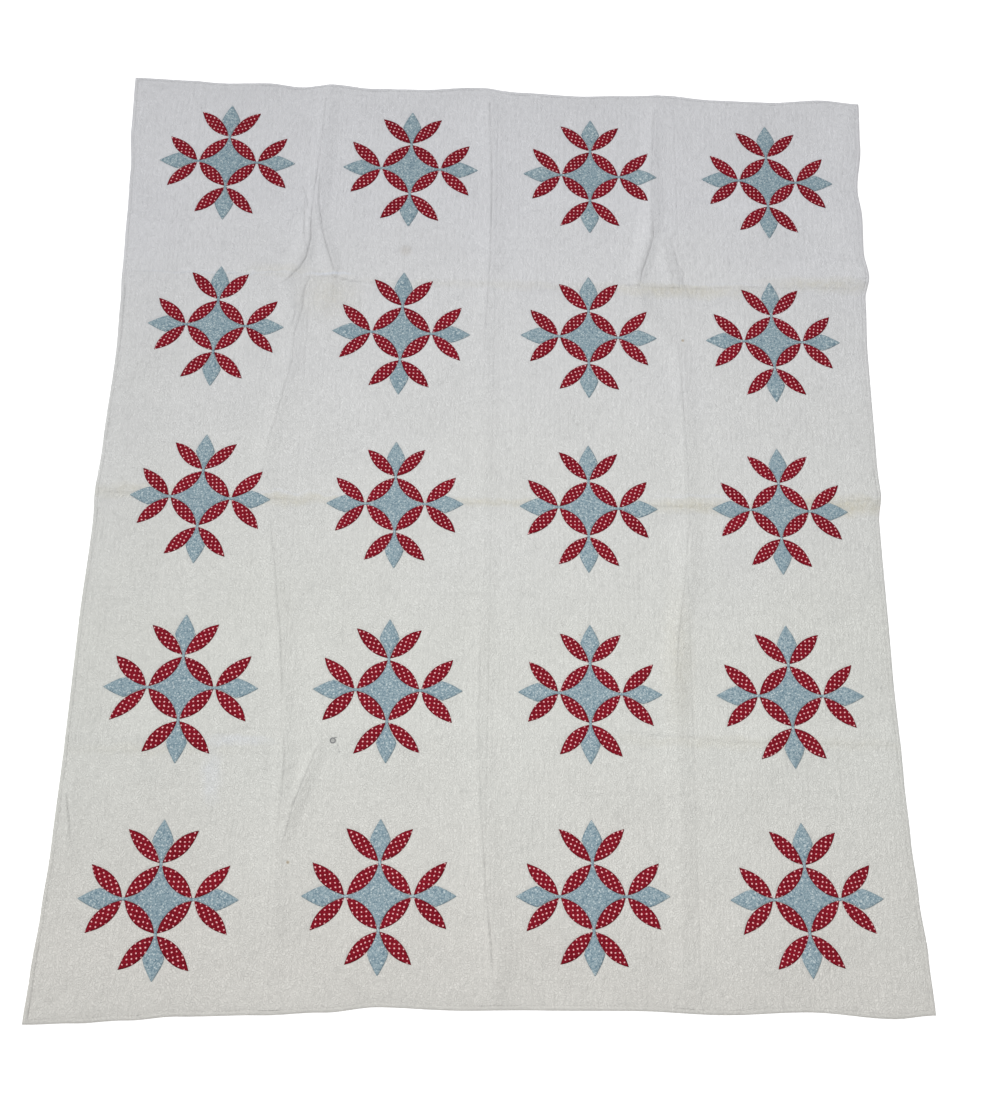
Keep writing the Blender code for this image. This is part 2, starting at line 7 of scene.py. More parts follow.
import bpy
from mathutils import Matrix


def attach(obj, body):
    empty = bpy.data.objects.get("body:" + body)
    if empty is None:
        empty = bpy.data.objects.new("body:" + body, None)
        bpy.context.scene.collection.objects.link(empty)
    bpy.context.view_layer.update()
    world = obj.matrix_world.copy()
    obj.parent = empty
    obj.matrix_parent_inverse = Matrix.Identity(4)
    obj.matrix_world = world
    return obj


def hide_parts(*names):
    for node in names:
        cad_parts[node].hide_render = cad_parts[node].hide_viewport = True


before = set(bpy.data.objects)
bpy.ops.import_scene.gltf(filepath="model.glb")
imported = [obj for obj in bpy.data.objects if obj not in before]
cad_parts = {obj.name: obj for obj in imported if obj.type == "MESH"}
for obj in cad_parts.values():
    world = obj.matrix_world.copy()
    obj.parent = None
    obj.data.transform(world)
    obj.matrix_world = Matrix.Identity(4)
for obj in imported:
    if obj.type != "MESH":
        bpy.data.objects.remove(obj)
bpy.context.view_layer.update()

# %% Tools for the lesson
import math

import bpy
import numpy as np
from mathutils import Matrix, Vector

# %% [markdown]
# ## The camera
# The quilt was photographed from above its foot, a little left of the middle. The place and the lens were
# worked out from the grid of square blocks, so the picture's perspective matches without any lens shift.

# %% Set the camera
MIDDLE = Vector((-0.0065, -0.0030, 0.0))
EYE = Vector((-0.061, -1.360, 3.224)) - MIDDLE
LOOK = Vector((0.0214, 0.3643, -0.9310)).normalized()
ACROSS = Vector((0.9995, 0.0139, 0.0284))
LENS = 52.26

camera_data = bpy.data.cameras.new("photo_camera")
camera_data.lens = LENS
camera_data.sensor_width = 36.0
camera = bpy.data.objects.new("photo_camera", camera_data)
bpy.context.scene.collection.objects.link(camera)
upward = ACROSS.cross(LOOK).normalized()
across = LOOK.cross(upward).normalized()
turn = Matrix((across, upward, -LOOK)).transposed()
camera.matrix_world = Matrix.Translation(EYE) @ turn.to_4x4()
bpy.context.scene.camera = camera
print("camera at", tuple(round(value, 3) for value in EYE))

# %% [markdown]
# ## Floor and light
# The quilt lies on a pure white floor under even studio light. A pale world gives the soft fill, one
# broad sun from the upper left is just strong enough for the ridges and the quilting to read, and a wide
# lamp overhead makes the middle a little brighter than the rim. The floor glows, as a lit sweep does, so
# it stays white beside the cloth. The lamp alone would be simpler, but it would leave the quilting flat.

# %% Lay the floor
FLOOR_HALF = 9.0
FLOOR_DROP = 0.0006
FLOOR_WHITE = (0.93, 0.93, 0.93, 1.0)
FLOOR_GLOW = 0.5

floor_mesh = bpy.data.meshes.new("floor")
floor_corners = [(x * FLOOR_HALF, y * FLOOR_HALF, 0) for x, y in ((-1, -1), (1, -1), (1, 1), (-1, 1))]
floor_mesh.from_pydata(floor_corners, [], [(0, 1, 2, 3)])
floor = bpy.data.objects.new("floor", floor_mesh)
floor.location.z = -FLOOR_DROP
bpy.context.scene.collection.objects.link(floor)
floor_paint = bpy.data.materials.new("pale_floor")
floor_paint.use_nodes = True
floor_shader = floor_paint.node_tree.nodes["Principled BSDF"]
floor_shader.inputs["Base Color"].default_value = FLOOR_WHITE
floor_shader.inputs["Roughness"].default_value = 0.9
floor_shader.inputs["Emission Color"].default_value = (1.0, 1.0, 1.0, 1.0)
floor_shader.inputs["Emission Strength"].default_value = FLOOR_GLOW
floor_mesh.materials.append(floor_paint)
print("floor", 2 * FLOOR_HALF, "m across")

# %% Hang the lights
WORLD_LIGHT = 0.487
SUN_STRENGTH = 1.25
SUN_ANGLE = 0.50
SUN_FROM = (-1.0, 0.75, 1.05)
LAMP_POWER = 18.0
LAMP_SIZE = 1.4
LAMP_PLACE = (0.0, -0.45, 2.2)


def hang_light(name, kind, energy):
    """Add one light to the scene."""
    data = bpy.data.lights.new(name, kind)
    data.energy = energy
    light = bpy.data.objects.new(name, data)
    bpy.context.scene.collection.objects.link(light)
    return light


world = bpy.data.worlds.new("studio")
bpy.context.scene.world = world
world.use_nodes = True
world.node_tree.nodes["Background"].inputs["Color"].default_value = (1.0, 1.0, 1.0, 1.0)
world.node_tree.nodes["Background"].inputs["Strength"].default_value = WORLD_LIGHT
sun = hang_light("broad_sun", "SUN", SUN_STRENGTH)
sun.data.angle = SUN_ANGLE
sun.rotation_euler = (-Vector(SUN_FROM)).to_track_quat("-Z", "Y").to_euler()
lamp = hang_light("overhead_lamp", "AREA", LAMP_POWER)
lamp.data.size = LAMP_SIZE
lamp.location = LAMP_PLACE
bpy.context.scene.view_settings.view_transform = "Standard"
print("world light", WORLD_LIGHT, "sun", SUN_STRENGTH, "lamp", LAMP_POWER)

# %% [markdown]
# ## The quilt's measurements
# Blocks are 17 inches square, four across and five down. The edges wave in and out by a centimetre or
# two, and each side has a short table of how far it reaches. Lists of traced points would be longer and
# no better, because cloth only needs its waves in the right places.

# %% Block and edge sizes
BLOCK = 0.430
COLUMNS = 4
ROWS = 5
SETTING_X = -0.006
SETTING_Y = 0.000
QUILT_THICK = 0.0040

EDGE_COLUMNS = ("along", "out")
LEFT_EDGE = (
    (-1.116, -0.899), (-1.020, -0.895), (-0.900, -0.888), (-0.780, -0.883), (-0.540, -0.880),
    (-0.300, -0.880), (-0.060, -0.875), (0.000, -0.878), (0.120, -0.873), (0.360, -0.867),
    (0.480, -0.870), (0.560, -0.874), (0.720, -0.878), (0.840, -0.882), (0.960, -0.892), (1.110, -0.896),
)
RIGHT_EDGE = (
    (-1.070, 0.886), (-0.960, 0.881), (-0.840, 0.871), (-0.720, 0.864), (-0.600, 0.860),
    (-0.360, 0.854), (-0.020, 0.851), (0.045, 0.859), (0.120, 0.856), (0.400, 0.855), (0.540, 0.860),
    (0.607, 0.873), (0.670, 0.865), (0.770, 0.868), (0.840, 0.862), (0.970, 0.877), (1.094, 0.881),
)
HEAD_EDGE = (
    (-0.896, 1.110), (-0.760, 1.106), (-0.680, 1.101), (-0.570, 1.105), (-0.490, 1.096),
    (-0.410, 1.107), (-0.320, 1.098), (-0.200, 1.099), (-0.060, 1.110), (0.050, 1.099), (0.190, 1.093),
    (0.300, 1.098), (0.400, 1.103), (0.520, 1.093), (0.660, 1.091), (0.790, 1.102), (0.881, 1.094),
)
FOOT_EDGE = (
    (-0.899, -1.116), (-0.800, -1.112), (-0.700, -1.105), (-0.600, -1.096), (-0.440, -1.091),
    (-0.320, -1.084), (-0.210, -1.072), (-0.060, -1.076), (0.100, -1.073), (0.300, -1.071),
    (0.460, -1.076), (0.640, -1.068), (0.800, -1.078), (0.886, -1.070),
)


def soft_step(value):
    """Rise softly from 0 to 1."""
    value = np.clip(value, 0.0, 1.0)
    return value * value * (3.0 - 2.0 * value)


def edge_reach(table, along):
    """Read how far out a side lies, softly between the rows of its table."""
    along = np.asarray(along, float)
    starts, outs = np.array(table).T
    place = np.clip(np.searchsorted(starts, along) - 1, 0, len(starts) - 2)
    part = (along - starts[place]) / (starts[place + 1] - starts[place])
    return outs[place] + (outs[place + 1] - outs[place]) * soft_step(part)


print("blocks", COLUMNS, "by", ROWS, "of", BLOCK, "m")

# %% [markdown]
# ## Fold ridges
# The quilt was kept folded in quarters, and the cloth still stands up a little along those lines. Each
# fold is a path of rows with a height and a half width. Simulating the folding would give ridges too,
# but not these ones in these places.

# %% Fold tables
FOLD_COLUMNS = ("x", "y", "height", "half_width")
FOLDS = {
    "left_fold": (
        (-0.419, 1.100, 0.0020, 0.030), (-0.423, 1.004, 0.0050, 0.030), (-0.429, 0.843, 0.0055, 0.034),
        (-0.436, 0.722, 0.0065, 0.036), (-0.460, 0.621, 0.0075, 0.036), (-0.493, 0.546, 0.0070, 0.034),
        (-0.475, 0.470, 0.0040, 0.036), (-0.461, 0.400, 0.0040, 0.036), (-0.481, 0.279, 0.0055, 0.036),
        (-0.502, 0.158, 0.0050, 0.034), (-0.516, 0.058, 0.0035, 0.034), (-0.490, -0.043, 0.0030, 0.034),
        (-0.470, -0.183, 0.0035, 0.034), (-0.450, -0.324, 0.0040, 0.034), (-0.436, -0.464, 0.0040, 0.034),
        (-0.428, -0.565, 0.0065, 0.032), (-0.424, -0.665, 0.0065, 0.030), (-0.431, -0.755, 0.0035, 0.030),
        (-0.427, -0.925, 0.0030, 0.034), (-0.425, -1.083, 0.0015, 0.034),
    ),
    "left_branch": (
        (-0.419, 0.692, 0.0035, 0.028), (-0.404, 0.631, 0.0070, 0.030), (-0.387, 0.581, 0.0070, 0.030),
        (-0.396, 0.520, 0.0035, 0.028), (-0.414, 0.460, 0.0015, 0.028),
    ),
    "foot_pucker": (
        (-0.352, -0.544, 0.0030, 0.026), (-0.378, -0.614, 0.0065, 0.026), (-0.404, -0.685, 0.0065, 0.026),
        (-0.419, -0.755, 0.0030, 0.026),
    ),
    "middle_fold": (
        (-0.030, 1.103, 0.0020, 0.034), (-0.024, 0.900, 0.0035, 0.036), (-0.019, 0.639, 0.0040, 0.036),
        (-0.032, 0.399, 0.0030, 0.036), (-0.024, 0.149, 0.0030, 0.036), (-0.019, -0.101, 0.0030, 0.036),
        (-0.028, -0.401, 0.0035, 0.036), (-0.021, -0.640, 0.0035, 0.036), (0.005, -0.899, 0.0040, 0.040),
        (0.022, -0.969, 0.0070, 0.042), (0.014, -1.070, 0.0030, 0.038),
    ),
    "right_fold": (
        (0.379, 1.101, 0.0020, 0.032), (0.369, 0.997, 0.0040, 0.032), (0.359, 0.877, 0.0050, 0.034),
        (0.364, 0.777, 0.0070, 0.034), (0.350, 0.678, 0.0085, 0.034), (0.320, 0.588, 0.0065, 0.032),
        (0.341, 0.478, 0.0030, 0.032), (0.417, 0.398, 0.0040, 0.036), (0.426, 0.199, 0.0040, 0.036),
        (0.431, 0.000, 0.0035, 0.036), (0.419, -0.159, 0.0040, 0.036), (0.396, -0.288, 0.0055, 0.038),
        (0.388, -0.397, 0.0065, 0.042), (0.391, -0.556, 0.0040, 0.038), (0.393, -0.735, 0.0040, 0.038),
        (0.388, -0.933, 0.0030, 0.036), (0.386, -1.068, 0.0015, 0.034),
    ),
    "right_branch": (
        (0.386, 0.677, 0.0030, 0.028), (0.395, 0.618, 0.0055, 0.030), (0.413, 0.568, 0.0065, 0.030),
        (0.437, 0.538, 0.0030, 0.028),
    ),
    "upper_cross_fold": (
        (-0.871, 0.562, 0.0020, 0.040), (-0.678, 0.562, 0.0030, 0.040), (-0.505, 0.561, 0.0040, 0.038),
        (-0.303, 0.562, 0.0030, 0.040), (-0.021, 0.559, 0.0030, 0.040), (0.298, 0.558, 0.0035, 0.040),
        (0.516, 0.559, 0.0030, 0.040), (0.694, 0.575, 0.0030, 0.040), (0.865, 0.596, 0.0030, 0.036),
    ),
    "middle_cross_fold": (
        (-0.872, 0.020, 0.0030, 0.040), (-0.506, 0.003, 0.0030, 0.042), (-0.254, -0.002, 0.0020, 0.042),
        (-0.043, 0.001, 0.0030, 0.042), (0.395, 0.004, 0.0030, 0.042), (0.632, 0.017, 0.0020, 0.042),
        (0.854, 0.041, 0.0035, 0.038),
    ),
    "lower_cross_fold": (
        (-0.883, -0.539, 0.0020, 0.042), (-0.629, -0.540, 0.0020, 0.044), (-0.366, -0.540, 0.0030, 0.042),
        (-0.004, -0.526, 0.0015, 0.044), (0.275, -0.510, 0.0030, 0.042), (0.512, -0.525, 0.0030, 0.042),
        (0.860, -0.528, 0.0020, 0.042),
    ),
    "left_edge_crease": (
        (-0.861, -0.650, 0.0030, 0.024), (-0.847, -0.710, 0.0040, 0.026), (-0.841, -0.780, 0.0020, 0.024),
    ),
}


VERY_FAR = 9.0
ROOF_SHARE = 0.45
SECOND_SHARE = 0.35
THIRD_SHARE = 0.20
NARROWEST = 0.001


def near_path(rows, x, y):
    """Find how far places are from a path, and the path's other columns where they are nearest."""
    nearest = np.full(x.shape, VERY_FAR)
    extras = [np.zeros(x.shape) for _ in rows[0][2:]]
    for row_a, row_b in zip(rows, rows[1:]):
        run_x, run_y = row_b[0] - row_a[0], row_b[1] - row_a[1]
        part = ((x - row_a[0]) * run_x + (y - row_a[1]) * run_y) / (run_x ** 2 + run_y ** 2)
        part = np.clip(part, 0.0, 1.0)
        away = np.hypot(row_a[0] + run_x * part - x, row_a[1] + run_y * part - y)
        closer = away < nearest
        nearest[closer] = away[closer]
        for column, values in enumerate(extras, start=2):
            here = row_a[column] + (row_b[column] - row_a[column]) * part
            values[closer] = here[closer]
    return nearest, extras


def ridge_height(x, y):
    """Add up the ridges that lift the cloth, the highest one leading."""
    lifts = []
    for rows in FOLDS.values():
        away, (height, half_width) = near_path(rows, x, y)
        fall = np.clip(1.0 - away / np.maximum(half_width, NARROWEST), 0.0, 1.0)
        lifts.append(height * (ROOF_SHARE * fall + (1.0 - ROOF_SHARE) * soft_step(fall)))
    lifts = np.sort(np.array(lifts), axis=0)[::-1]
    return lifts[0] + SECOND_SHARE * lifts[1] + THIRD_SHARE * lifts[2]


print("folds", ", ".join(FOLDS))

# %% [markdown]
# ## Creases and soft waves
# Beside the ridges the top cloth is pinched into thin creases, which read as fine grey lines, and the
# batting between them lies in soft waves. The creases are listed one by one. The waves come from smooth
# seeded noise, because nobody could tell one small wave of old batting from another.

# %% Crease tables
CREASE_COLUMNS = ("x", "y", "depth")
CREASE_UNIT = 0.001
CREASE_HALF_WIDTH = 0.0030
LIP_SHARE = 0.45
LIP_SPREAD = 2.6
# Each crease's grey line is painted shade with a little grime, strongest where the crease is deepest.
SHADE_AND_GRIME_HALF_WIDTH = 0.0018
SHADE_AND_GRIME_FULL_DEPTH = 2.4
SHADE_AND_GRIME_EVEN = 0.80
SHADE_AND_GRIME_HILLS = ((0.30, 0.020, 17),)
HILLS = 96
HILL_SHIFT = 40.0
HILL_COLUMNS = ("height", "size", "seed")
WAVES = ((0.0007, 0.110, 3), (0.0004, 0.045, 5))
CREASES = {
    "left_upper": ((-0.427, 1.064, 1.0), (-0.433, 0.903, 1.2), (-0.442, 0.782, 1.4), (-0.444, 0.719, 2.0),
                   (-0.442, 0.661, 2.2), (-0.449, 0.615, 2.2), (-0.462, 0.585, 1.8), (-0.491, 0.548, 1.2),
                   (-0.517, 0.536, 0.5)),
    "left_twin": ((-0.431, 0.843, 0.9), (-0.429, 0.770, 1.8), (-0.417, 0.695, 2.0), (-0.404, 0.644, 2.0),
                  (-0.390, 0.600, 1.8), (-0.384, 0.580, 1.0)),
    "left_below": ((-0.439, 0.557, 1.4), (-0.450, 0.527, 2.0), (-0.451, 0.479, 1.8), (-0.456, 0.450, 1.2),
                   (-0.466, 0.406, 1.0), (-0.465, 0.345, 1.0), (-0.485, 0.239, 0.9), (-0.506, 0.138, 0.8),
                   (-0.514, 0.058, 0.5)),
    "left_strand": ((-0.462, 0.775, 0.8), (-0.461, 0.718, 1.6), (-0.459, 0.679, 1.4), (-0.452, 0.640, 0.5)),
    "left_top": ((-0.470, 0.810, 0.8), (-0.459, 0.778, 1.4), (-0.452, 0.745, 0.8)),
    "left_foot": ((-0.466, 0.490, 0.5), (-0.467, 0.460, 1.2), (-0.474, 0.420, 0.6)),
    "left_low": ((-0.490, -0.043, 0.8), (-0.472, -0.163, 1.2), (-0.452, -0.304, 1.3), (-0.438, -0.444, 1.2)),
    "foot_left": ((-0.430, -0.524, 0.8), (-0.424, -0.585, 1.2), (-0.426, -0.650, 1.2), (-0.430, -0.720, 0.8)),
    "foot_right": ((-0.356, -0.549, 0.6), (-0.378, -0.610, 1.4), (-0.402, -0.680, 1.6),
                   (-0.417, -0.755, 1.0)),
    "middle_upper": ((-0.028, 1.061, 1.2), (-0.020, 0.860, 1.4), (-0.019, 0.639, 1.2), (-0.028, 0.439, 0.8)),
    "middle_lower": ((-0.024, -0.301, 0.5), (-0.026, -0.481, 0.9), (-0.019, -0.660, 0.9),
                     (-0.005, -0.839, 1.2), (0.006, -0.939, 1.8), (0.010, -0.999, 1.0)),
    "right_upper": ((0.375, 1.047, 0.9), (0.365, 0.897, 0.6), (0.362, 0.797, 0.6), (0.364, 0.742, 1.2),
                    (0.365, 0.690, 2.0), (0.350, 0.640, 1.8), (0.336, 0.598, 1.6), (0.330, 0.560, 0.8)),
    "right_twin": ((0.402, 0.697, 0.4), (0.415, 0.655, 0.9), (0.421, 0.622, 1.3), (0.435, 0.600, 1.3),
                   (0.431, 0.574, 1.4), (0.441, 0.551, 1.2), (0.449, 0.528, 0.5)),
    "right_pucker": ((0.398, 0.610, 0.5), (0.408, 0.588, 1.4), (0.405, 0.566, 1.0), (0.414, 0.545, 0.5)),
    "right_middle": ((0.415, 0.418, 0.6), (0.424, 0.259, 0.9), (0.429, 0.100, 0.9), (0.429, -0.039, 0.8),
                     (0.414, -0.179, 0.8), (0.398, -0.298, 1.0), (0.390, -0.417, 0.8)),
    "upper_left_cross": ((-0.851, 0.565, 0.4), (-0.667, 0.562, 0.5), (-0.525, 0.567, 0.5)),
    "upper_mid_cross": ((-0.444, 0.560, 1.0), (-0.389, 0.562, 1.6), (-0.338, 0.552, 1.2),
                        (-0.283, 0.549, 0.6)),
    "upper_right_cross": ((0.298, 0.560, 0.8), (0.437, 0.554, 1.0), (0.575, 0.563, 0.7), (0.733, 0.566, 0.7),
                          (0.841, 0.570, 0.6)),
    "middle_left_cross": ((-0.852, 0.006, 0.8), (-0.668, 0.004, 0.8), (-0.506, -0.001, 0.8),
                          (-0.344, -0.004, 0.6)),
    "middle_mid_cross": ((-0.163, 0.000, 0.5), (0.037, -0.003, 0.6), (0.276, 0.001, 0.6),
                         (0.415, 0.003, 0.8)),
    "middle_right_cross": ((0.435, 0.004, 0.8), (0.613, 0.012, 0.8), (0.839, 0.030, 0.8)),
    "lower_left_cross": ((-0.853, -0.574, 0.3), (-0.708, -0.574, 0.4), (-0.600, -0.548, 0.3),
                         (-0.510, -0.520, 0.5), (-0.400, -0.523, 0.4)),
    "lower_right_cross": ((0.275, -0.510, 0.5), (0.512, -0.527, 0.6), (0.836, -0.528, 0.5)),
    "edge_nick": ((-0.863, -0.665, 1.4), (-0.851, -0.720, 2.0), (-0.843, -0.775, 0.8)),
}


def smooth_noise(x, y, size, seed):
    """Soft hills of about one size, between -1 and 1, the same on every run."""
    hills = np.random.default_rng(seed).uniform(-1.0, 1.0, (HILLS, HILLS))
    across_it, up_it = x / size + HILL_SHIFT, y / size + HILL_SHIFT
    column, row = np.floor(across_it).astype(int), np.floor(up_it).astype(int)
    part_x, part_y = soft_step(across_it - column), soft_step(up_it - row)
    column, row = column % (HILLS - 1), row % (HILLS - 1)
    low = hills[row, column] * (1 - part_x) + hills[row, column + 1] * part_x
    high = hills[row + 1, column] * (1 - part_x) + hills[row + 1, column + 1] * part_x
    return low * (1 - part_y) + high * part_y


def layered_noise(layers, x, y):
    """Add up soft hills, each layer with its height, size and seed."""
    return sum(height * smooth_noise(x, y, size, seed) for height, size, seed in layers)


def creases_at(x, y):
    """Return how deep the creases pinch the cloth, with a small lip on both sides, and their painted shade
    and grime.
    """
    dip, shade_and_grime = np.zeros(x.shape), np.zeros(x.shape)
    shade_and_grime_spread = SHADE_AND_GRIME_EVEN + layered_noise(SHADE_AND_GRIME_HILLS, x, y)
    for rows in CREASES.values():
        away, (depth,) = near_path(rows, x, y)
        across_it = away / CREASE_HALF_WIDTH
        pinch = np.exp(-across_it ** 2) - LIP_SHARE * np.exp(-(across_it / LIP_SPREAD) ** 2)
        dip -= depth * CREASE_UNIT * pinch
        # Painted shade and grime along the crease, broken up by soft noise.
        shade_and_grime_here = np.clip(depth / SHADE_AND_GRIME_FULL_DEPTH, 0.0, 1.0) * shade_and_grime_spread
        shade_and_grime = np.maximum(shade_and_grime, shade_and_grime_here * np.exp(-(away / SHADE_AND_GRIME_HALF_WIDTH) ** 2))
    return dip, shade_and_grime


def resting_height(x, y):
    """Return the height of the quilt's face before its creases and its fine quilting."""
    return QUILT_THICK + ridge_height(x, y) + layered_noise(WAVES, x, y)


print("creases", len(CREASES))

# %% [markdown]
# ## Where the quilting lines run
# Each block has a square set on point, filled with close upright lines. The squares left at the block
# corners hold a feathered wreath, a very old quilting pattern. Raised puffs between stitched lines could
# be painted as a bump, but real heights catch the light from every side, so the mesh carries them.
# Old batting has shrunk, so the cloth is also crinkled all over, which breaks up every straight line.

# %% Quilting lines
CHANNEL = BLOCK / 40
LINE_HALF_WIDTH = 0.0023
PUFF_HEIGHT = 0.0005
BIG_PUFF_HEIGHT = 0.0006
CRINKLE_HEIGHT = 0.00085
STITCHED_HALF_WIDTH = 0.0018
SPINE_INNER = 0.043
SPINE_OUTER = 0.050
FEATHER_OUTSIDE = 0.072
FEATHER_INSIDE = 0.024
OUTER_FEATHERS = 18
INNER_FEATHERS = 12
OUTER_SLANT = 22.0
INNER_SLANT = 20.0
OUTER_DIP = 0.030
INNER_DIP = 0.026
WREATH_EYE = 0.012
DIAGONAL_GAP = 0.009
BIG_PUFF_REACH = 0.012
LINE_WOBBLE = ((0.0020, 0.040, 8), (0.0022, 0.013, 9))
PUFF_EVEN = 0.60
PUFF_HILLS = ((0.60, 0.016, 13),)
CRINKLE_EVEN = 0.8
CRINKLE_SHARE = 0.5
CRINKLE_STRETCH = 0.75
FINE_CRINKLE = ((1.0, 0.0062, 14),)
WIDE_CRINKLE = ((0.6, 0.012, 15),)
STITCH_EVEN = 0.10
STITCH_HILLS = ((1.10, 0.0110, 16),)


def from_line(value, spacing):
    """Return the distance to the nearest of many even lines."""
    return np.abs((value / spacing + 0.5) % 1.0 - 0.5) * spacing


def wreath_lines(east, north):
    """Return the distance to the lines of a feathered wreath about its middle, and its outer reach."""
    radius = np.hypot(east, north)
    angle = np.arctan2(north, east) / (2 * math.pi)
    outer_turn = (angle * OUTER_FEATHERS + (radius - SPINE_OUTER) * OUTER_SLANT) % 1.0 - 0.5
    inner_turn = (angle * INNER_FEATHERS - (radius - SPINE_INNER) * INNER_SLANT) % 1.0 - 0.5
    reach = FEATHER_OUTSIDE - OUTER_DIP * outer_turn ** 2
    depth = FEATHER_INSIDE + INNER_DIP * inner_turn ** 2
    lines = np.abs(radius - SPINE_INNER)
    for other in (SPINE_OUTER, reach, depth, WREATH_EYE):
        lines = np.minimum(lines, np.abs(radius - other))
    outer_side = (0.5 - np.abs(outer_turn)) * 2 * math.pi * radius / OUTER_FEATHERS
    inner_side = (0.5 - np.abs(inner_turn)) * 2 * math.pi * radius / INNER_FEATHERS
    in_outer = (radius > SPINE_OUTER) & (radius < reach)
    in_inner = (radius < SPINE_INNER) & (radius > depth)
    lines = np.where(in_outer, np.minimum(lines, outer_side), lines)
    lines = np.where(in_inner, np.minimum(lines, inner_side), lines)
    return lines, radius - reach


def from_stitching(east, north):
    """Return the distance to the nearest quilted line, in the cloth's own metres."""
    wobble = layered_noise(LINE_WOBBLE, east, north)
    across_it = ((east - SETTING_X) / BLOCK + COLUMNS / 2) % 1.0 - 0.5
    up_it = ((north - SETTING_Y) / BLOCK + ROWS / 2) % 1.0 - 0.5
    local_x, local_y = across_it * BLOCK, up_it * BLOCK
    past_seam = (np.abs(local_x) + np.abs(local_y) - BLOCK / 2) / math.sqrt(2)
    corner_x = local_x - np.where(local_x > 0, BLOCK / 2, -BLOCK / 2)
    corner_y = local_y - np.where(local_y > 0, BLOCK / 2, -BLOCK / 2)
    wreath, past_wreath = wreath_lines(corner_x, corner_y)
    channels = from_line(local_x + wobble, CHANNEL)
    diagonals = np.minimum(np.abs(past_seam + wobble), np.abs(past_seam + wobble - DIAGONAL_GAP))
    field = np.minimum(channels, diagonals)
    return np.where(past_wreath < 0, wreath, np.minimum(field, np.abs(past_wreath)))


def quilted_relief(east, north):
    """Return the height of the puffs between stitched lines, and how deep in a stitched line a place is."""
    away = from_stitching(east, north)
    fullness = PUFF_EVEN + layered_noise(PUFF_HILLS, east, north)
    puff = PUFF_HEIGHT * fullness * (1.0 - np.exp(-(away / LINE_HALF_WIDTH) ** 2))
    crinkle = layered_noise(FINE_CRINKLE, east, north * CRINKLE_STRETCH)
    crinkle = crinkle + layered_noise(WIDE_CRINKLE, east, north)
    relief = puff + BIG_PUFF_HEIGHT * soft_step(away / BIG_PUFF_REACH)
    relief += CRINKLE_HEIGHT * (CRINKLE_EVEN + CRINKLE_SHARE * crinkle)
    broken = np.clip(STITCH_EVEN + layered_noise(STITCH_HILLS, east, north), 0.0, 1.0)
    stitched = broken * np.exp(-(away / STITCHED_HALF_WIDTH) ** 2)
    return relief, stitched


print("upright lines every", round(CHANNEL * 1000, 1), "mm")

# %% [markdown]
# ## Making a cloth mesh
# Every cloth here is a grid of points moved into place, so one helper makes the mesh, gives it a UV map
# in the cloth's own metres, and shades it smooth. Weave and print read that map, so they follow the
# cloth over every ridge. Unwrapping would give islands, and threads that jump between them.

# %% Mesh helpers
CLOTH_MAP = "cloth_metres"
# Points carry their painted shade in the valley attribute: darker in stitches, seams, creases and patch rims.
VALLEY = "valley"


def grid_faces(rows, columns, closed=False):
    """List the four-cornered faces of a grid whose points are stored row by row."""
    index = np.arange(rows * columns).reshape(rows, columns)
    if closed:
        index = np.hstack([index, index[:, :1]])
    corners = [index[:-1, :-1], index[:-1, 1:], index[1:, 1:], index[1:, :-1]]
    return np.stack([corner.ravel() for corner in corners], axis=1)


def cloth_mesh(name, points, faces, cloth_xy, valley=None):
    """Build a smooth mesh from points and quads, with its cloth map and each point's painted shade."""
    mesh = bpy.data.meshes.new(name)
    mesh.vertices.add(len(points))
    moved = np.asarray(points, float) - np.array(MIDDLE)
    mesh.vertices.foreach_set("co", moved.astype(np.float32).ravel())
    mesh.loops.add(faces.size)
    mesh.loops.foreach_set("vertex_index", faces.ravel().astype(np.int32))
    mesh.polygons.add(len(faces))
    mesh.polygons.foreach_set("loop_start", np.arange(0, faces.size, 4, dtype=np.int32))
    cloth_map = mesh.uv_layers.new(name=CLOTH_MAP)
    cloth_map.data.foreach_set("uv", cloth_xy[faces.ravel()].astype(np.float32).ravel())
    if valley is not None:
        shade = mesh.attributes.new(VALLEY, "FLOAT", "POINT")
        shade.data.foreach_set("value", np.asarray(valley, np.float32).ravel())
    mesh.update(calc_edges=True)
    mesh.validate()
    mesh.shade_smooth()
    return mesh


def add_piece(name, mesh, cloth, node):
    """Show a finished cloth in its material, riding on the quilt in place of its solid."""
    piece = bpy.data.objects.new(name, mesh)
    bpy.context.scene.collection.objects.link(piece)
    mesh.materials.append(cloth)
    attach(piece, "root")
    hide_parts(node)
    return piece


def join_grids(grids):
    """Join several (points, faces, cloth_xy, valley) sets into one."""
    points, faces, cloth_xy, valleys, first = [], [], [], [], 0
    for grid_points, grid_quads, grid_xy, valley in grids:
        points.append(grid_points)
        faces.append(grid_quads + first)
        cloth_xy.append(grid_xy)
        valleys.append(valley)
        first += len(grid_points)
    return np.vstack(points), np.vstack(faces), np.vstack(cloth_xy), np.concatenate(valleys)


print("helpers ready")

# %% [markdown]
# ## Shader groups
# Effects that several cloths share are node groups: the woven threads, the mottling of old cotton, a
# dotted print, a tiny print, and the marks of age with the painted fold highlights. Each is built once with
# named inputs, and every material places it with its own values. A group only puts out masks, tones and
# heights, and the shader stays in the material. Sizes of noise are given as features for each metre of cloth.

# %% Node helpers
def feed(tree, socket, value):
    """Link a value to a socket if it comes from a node, or else set it."""
    if isinstance(value, bpy.types.NodeSocket):
        tree.links.new(value, socket)
    else:
        socket.default_value = value


def add_node(tree, kind, inputs, **settings):
    """Add a node with its settings and feed its inputs, each named by title or by place."""
    node = tree.nodes.new("ShaderNode" + kind)
    for title, setting in settings.items():
        setattr(node, title, setting)
    for title, value in inputs.items():
        feed(tree, node.inputs[title], value)
    return node


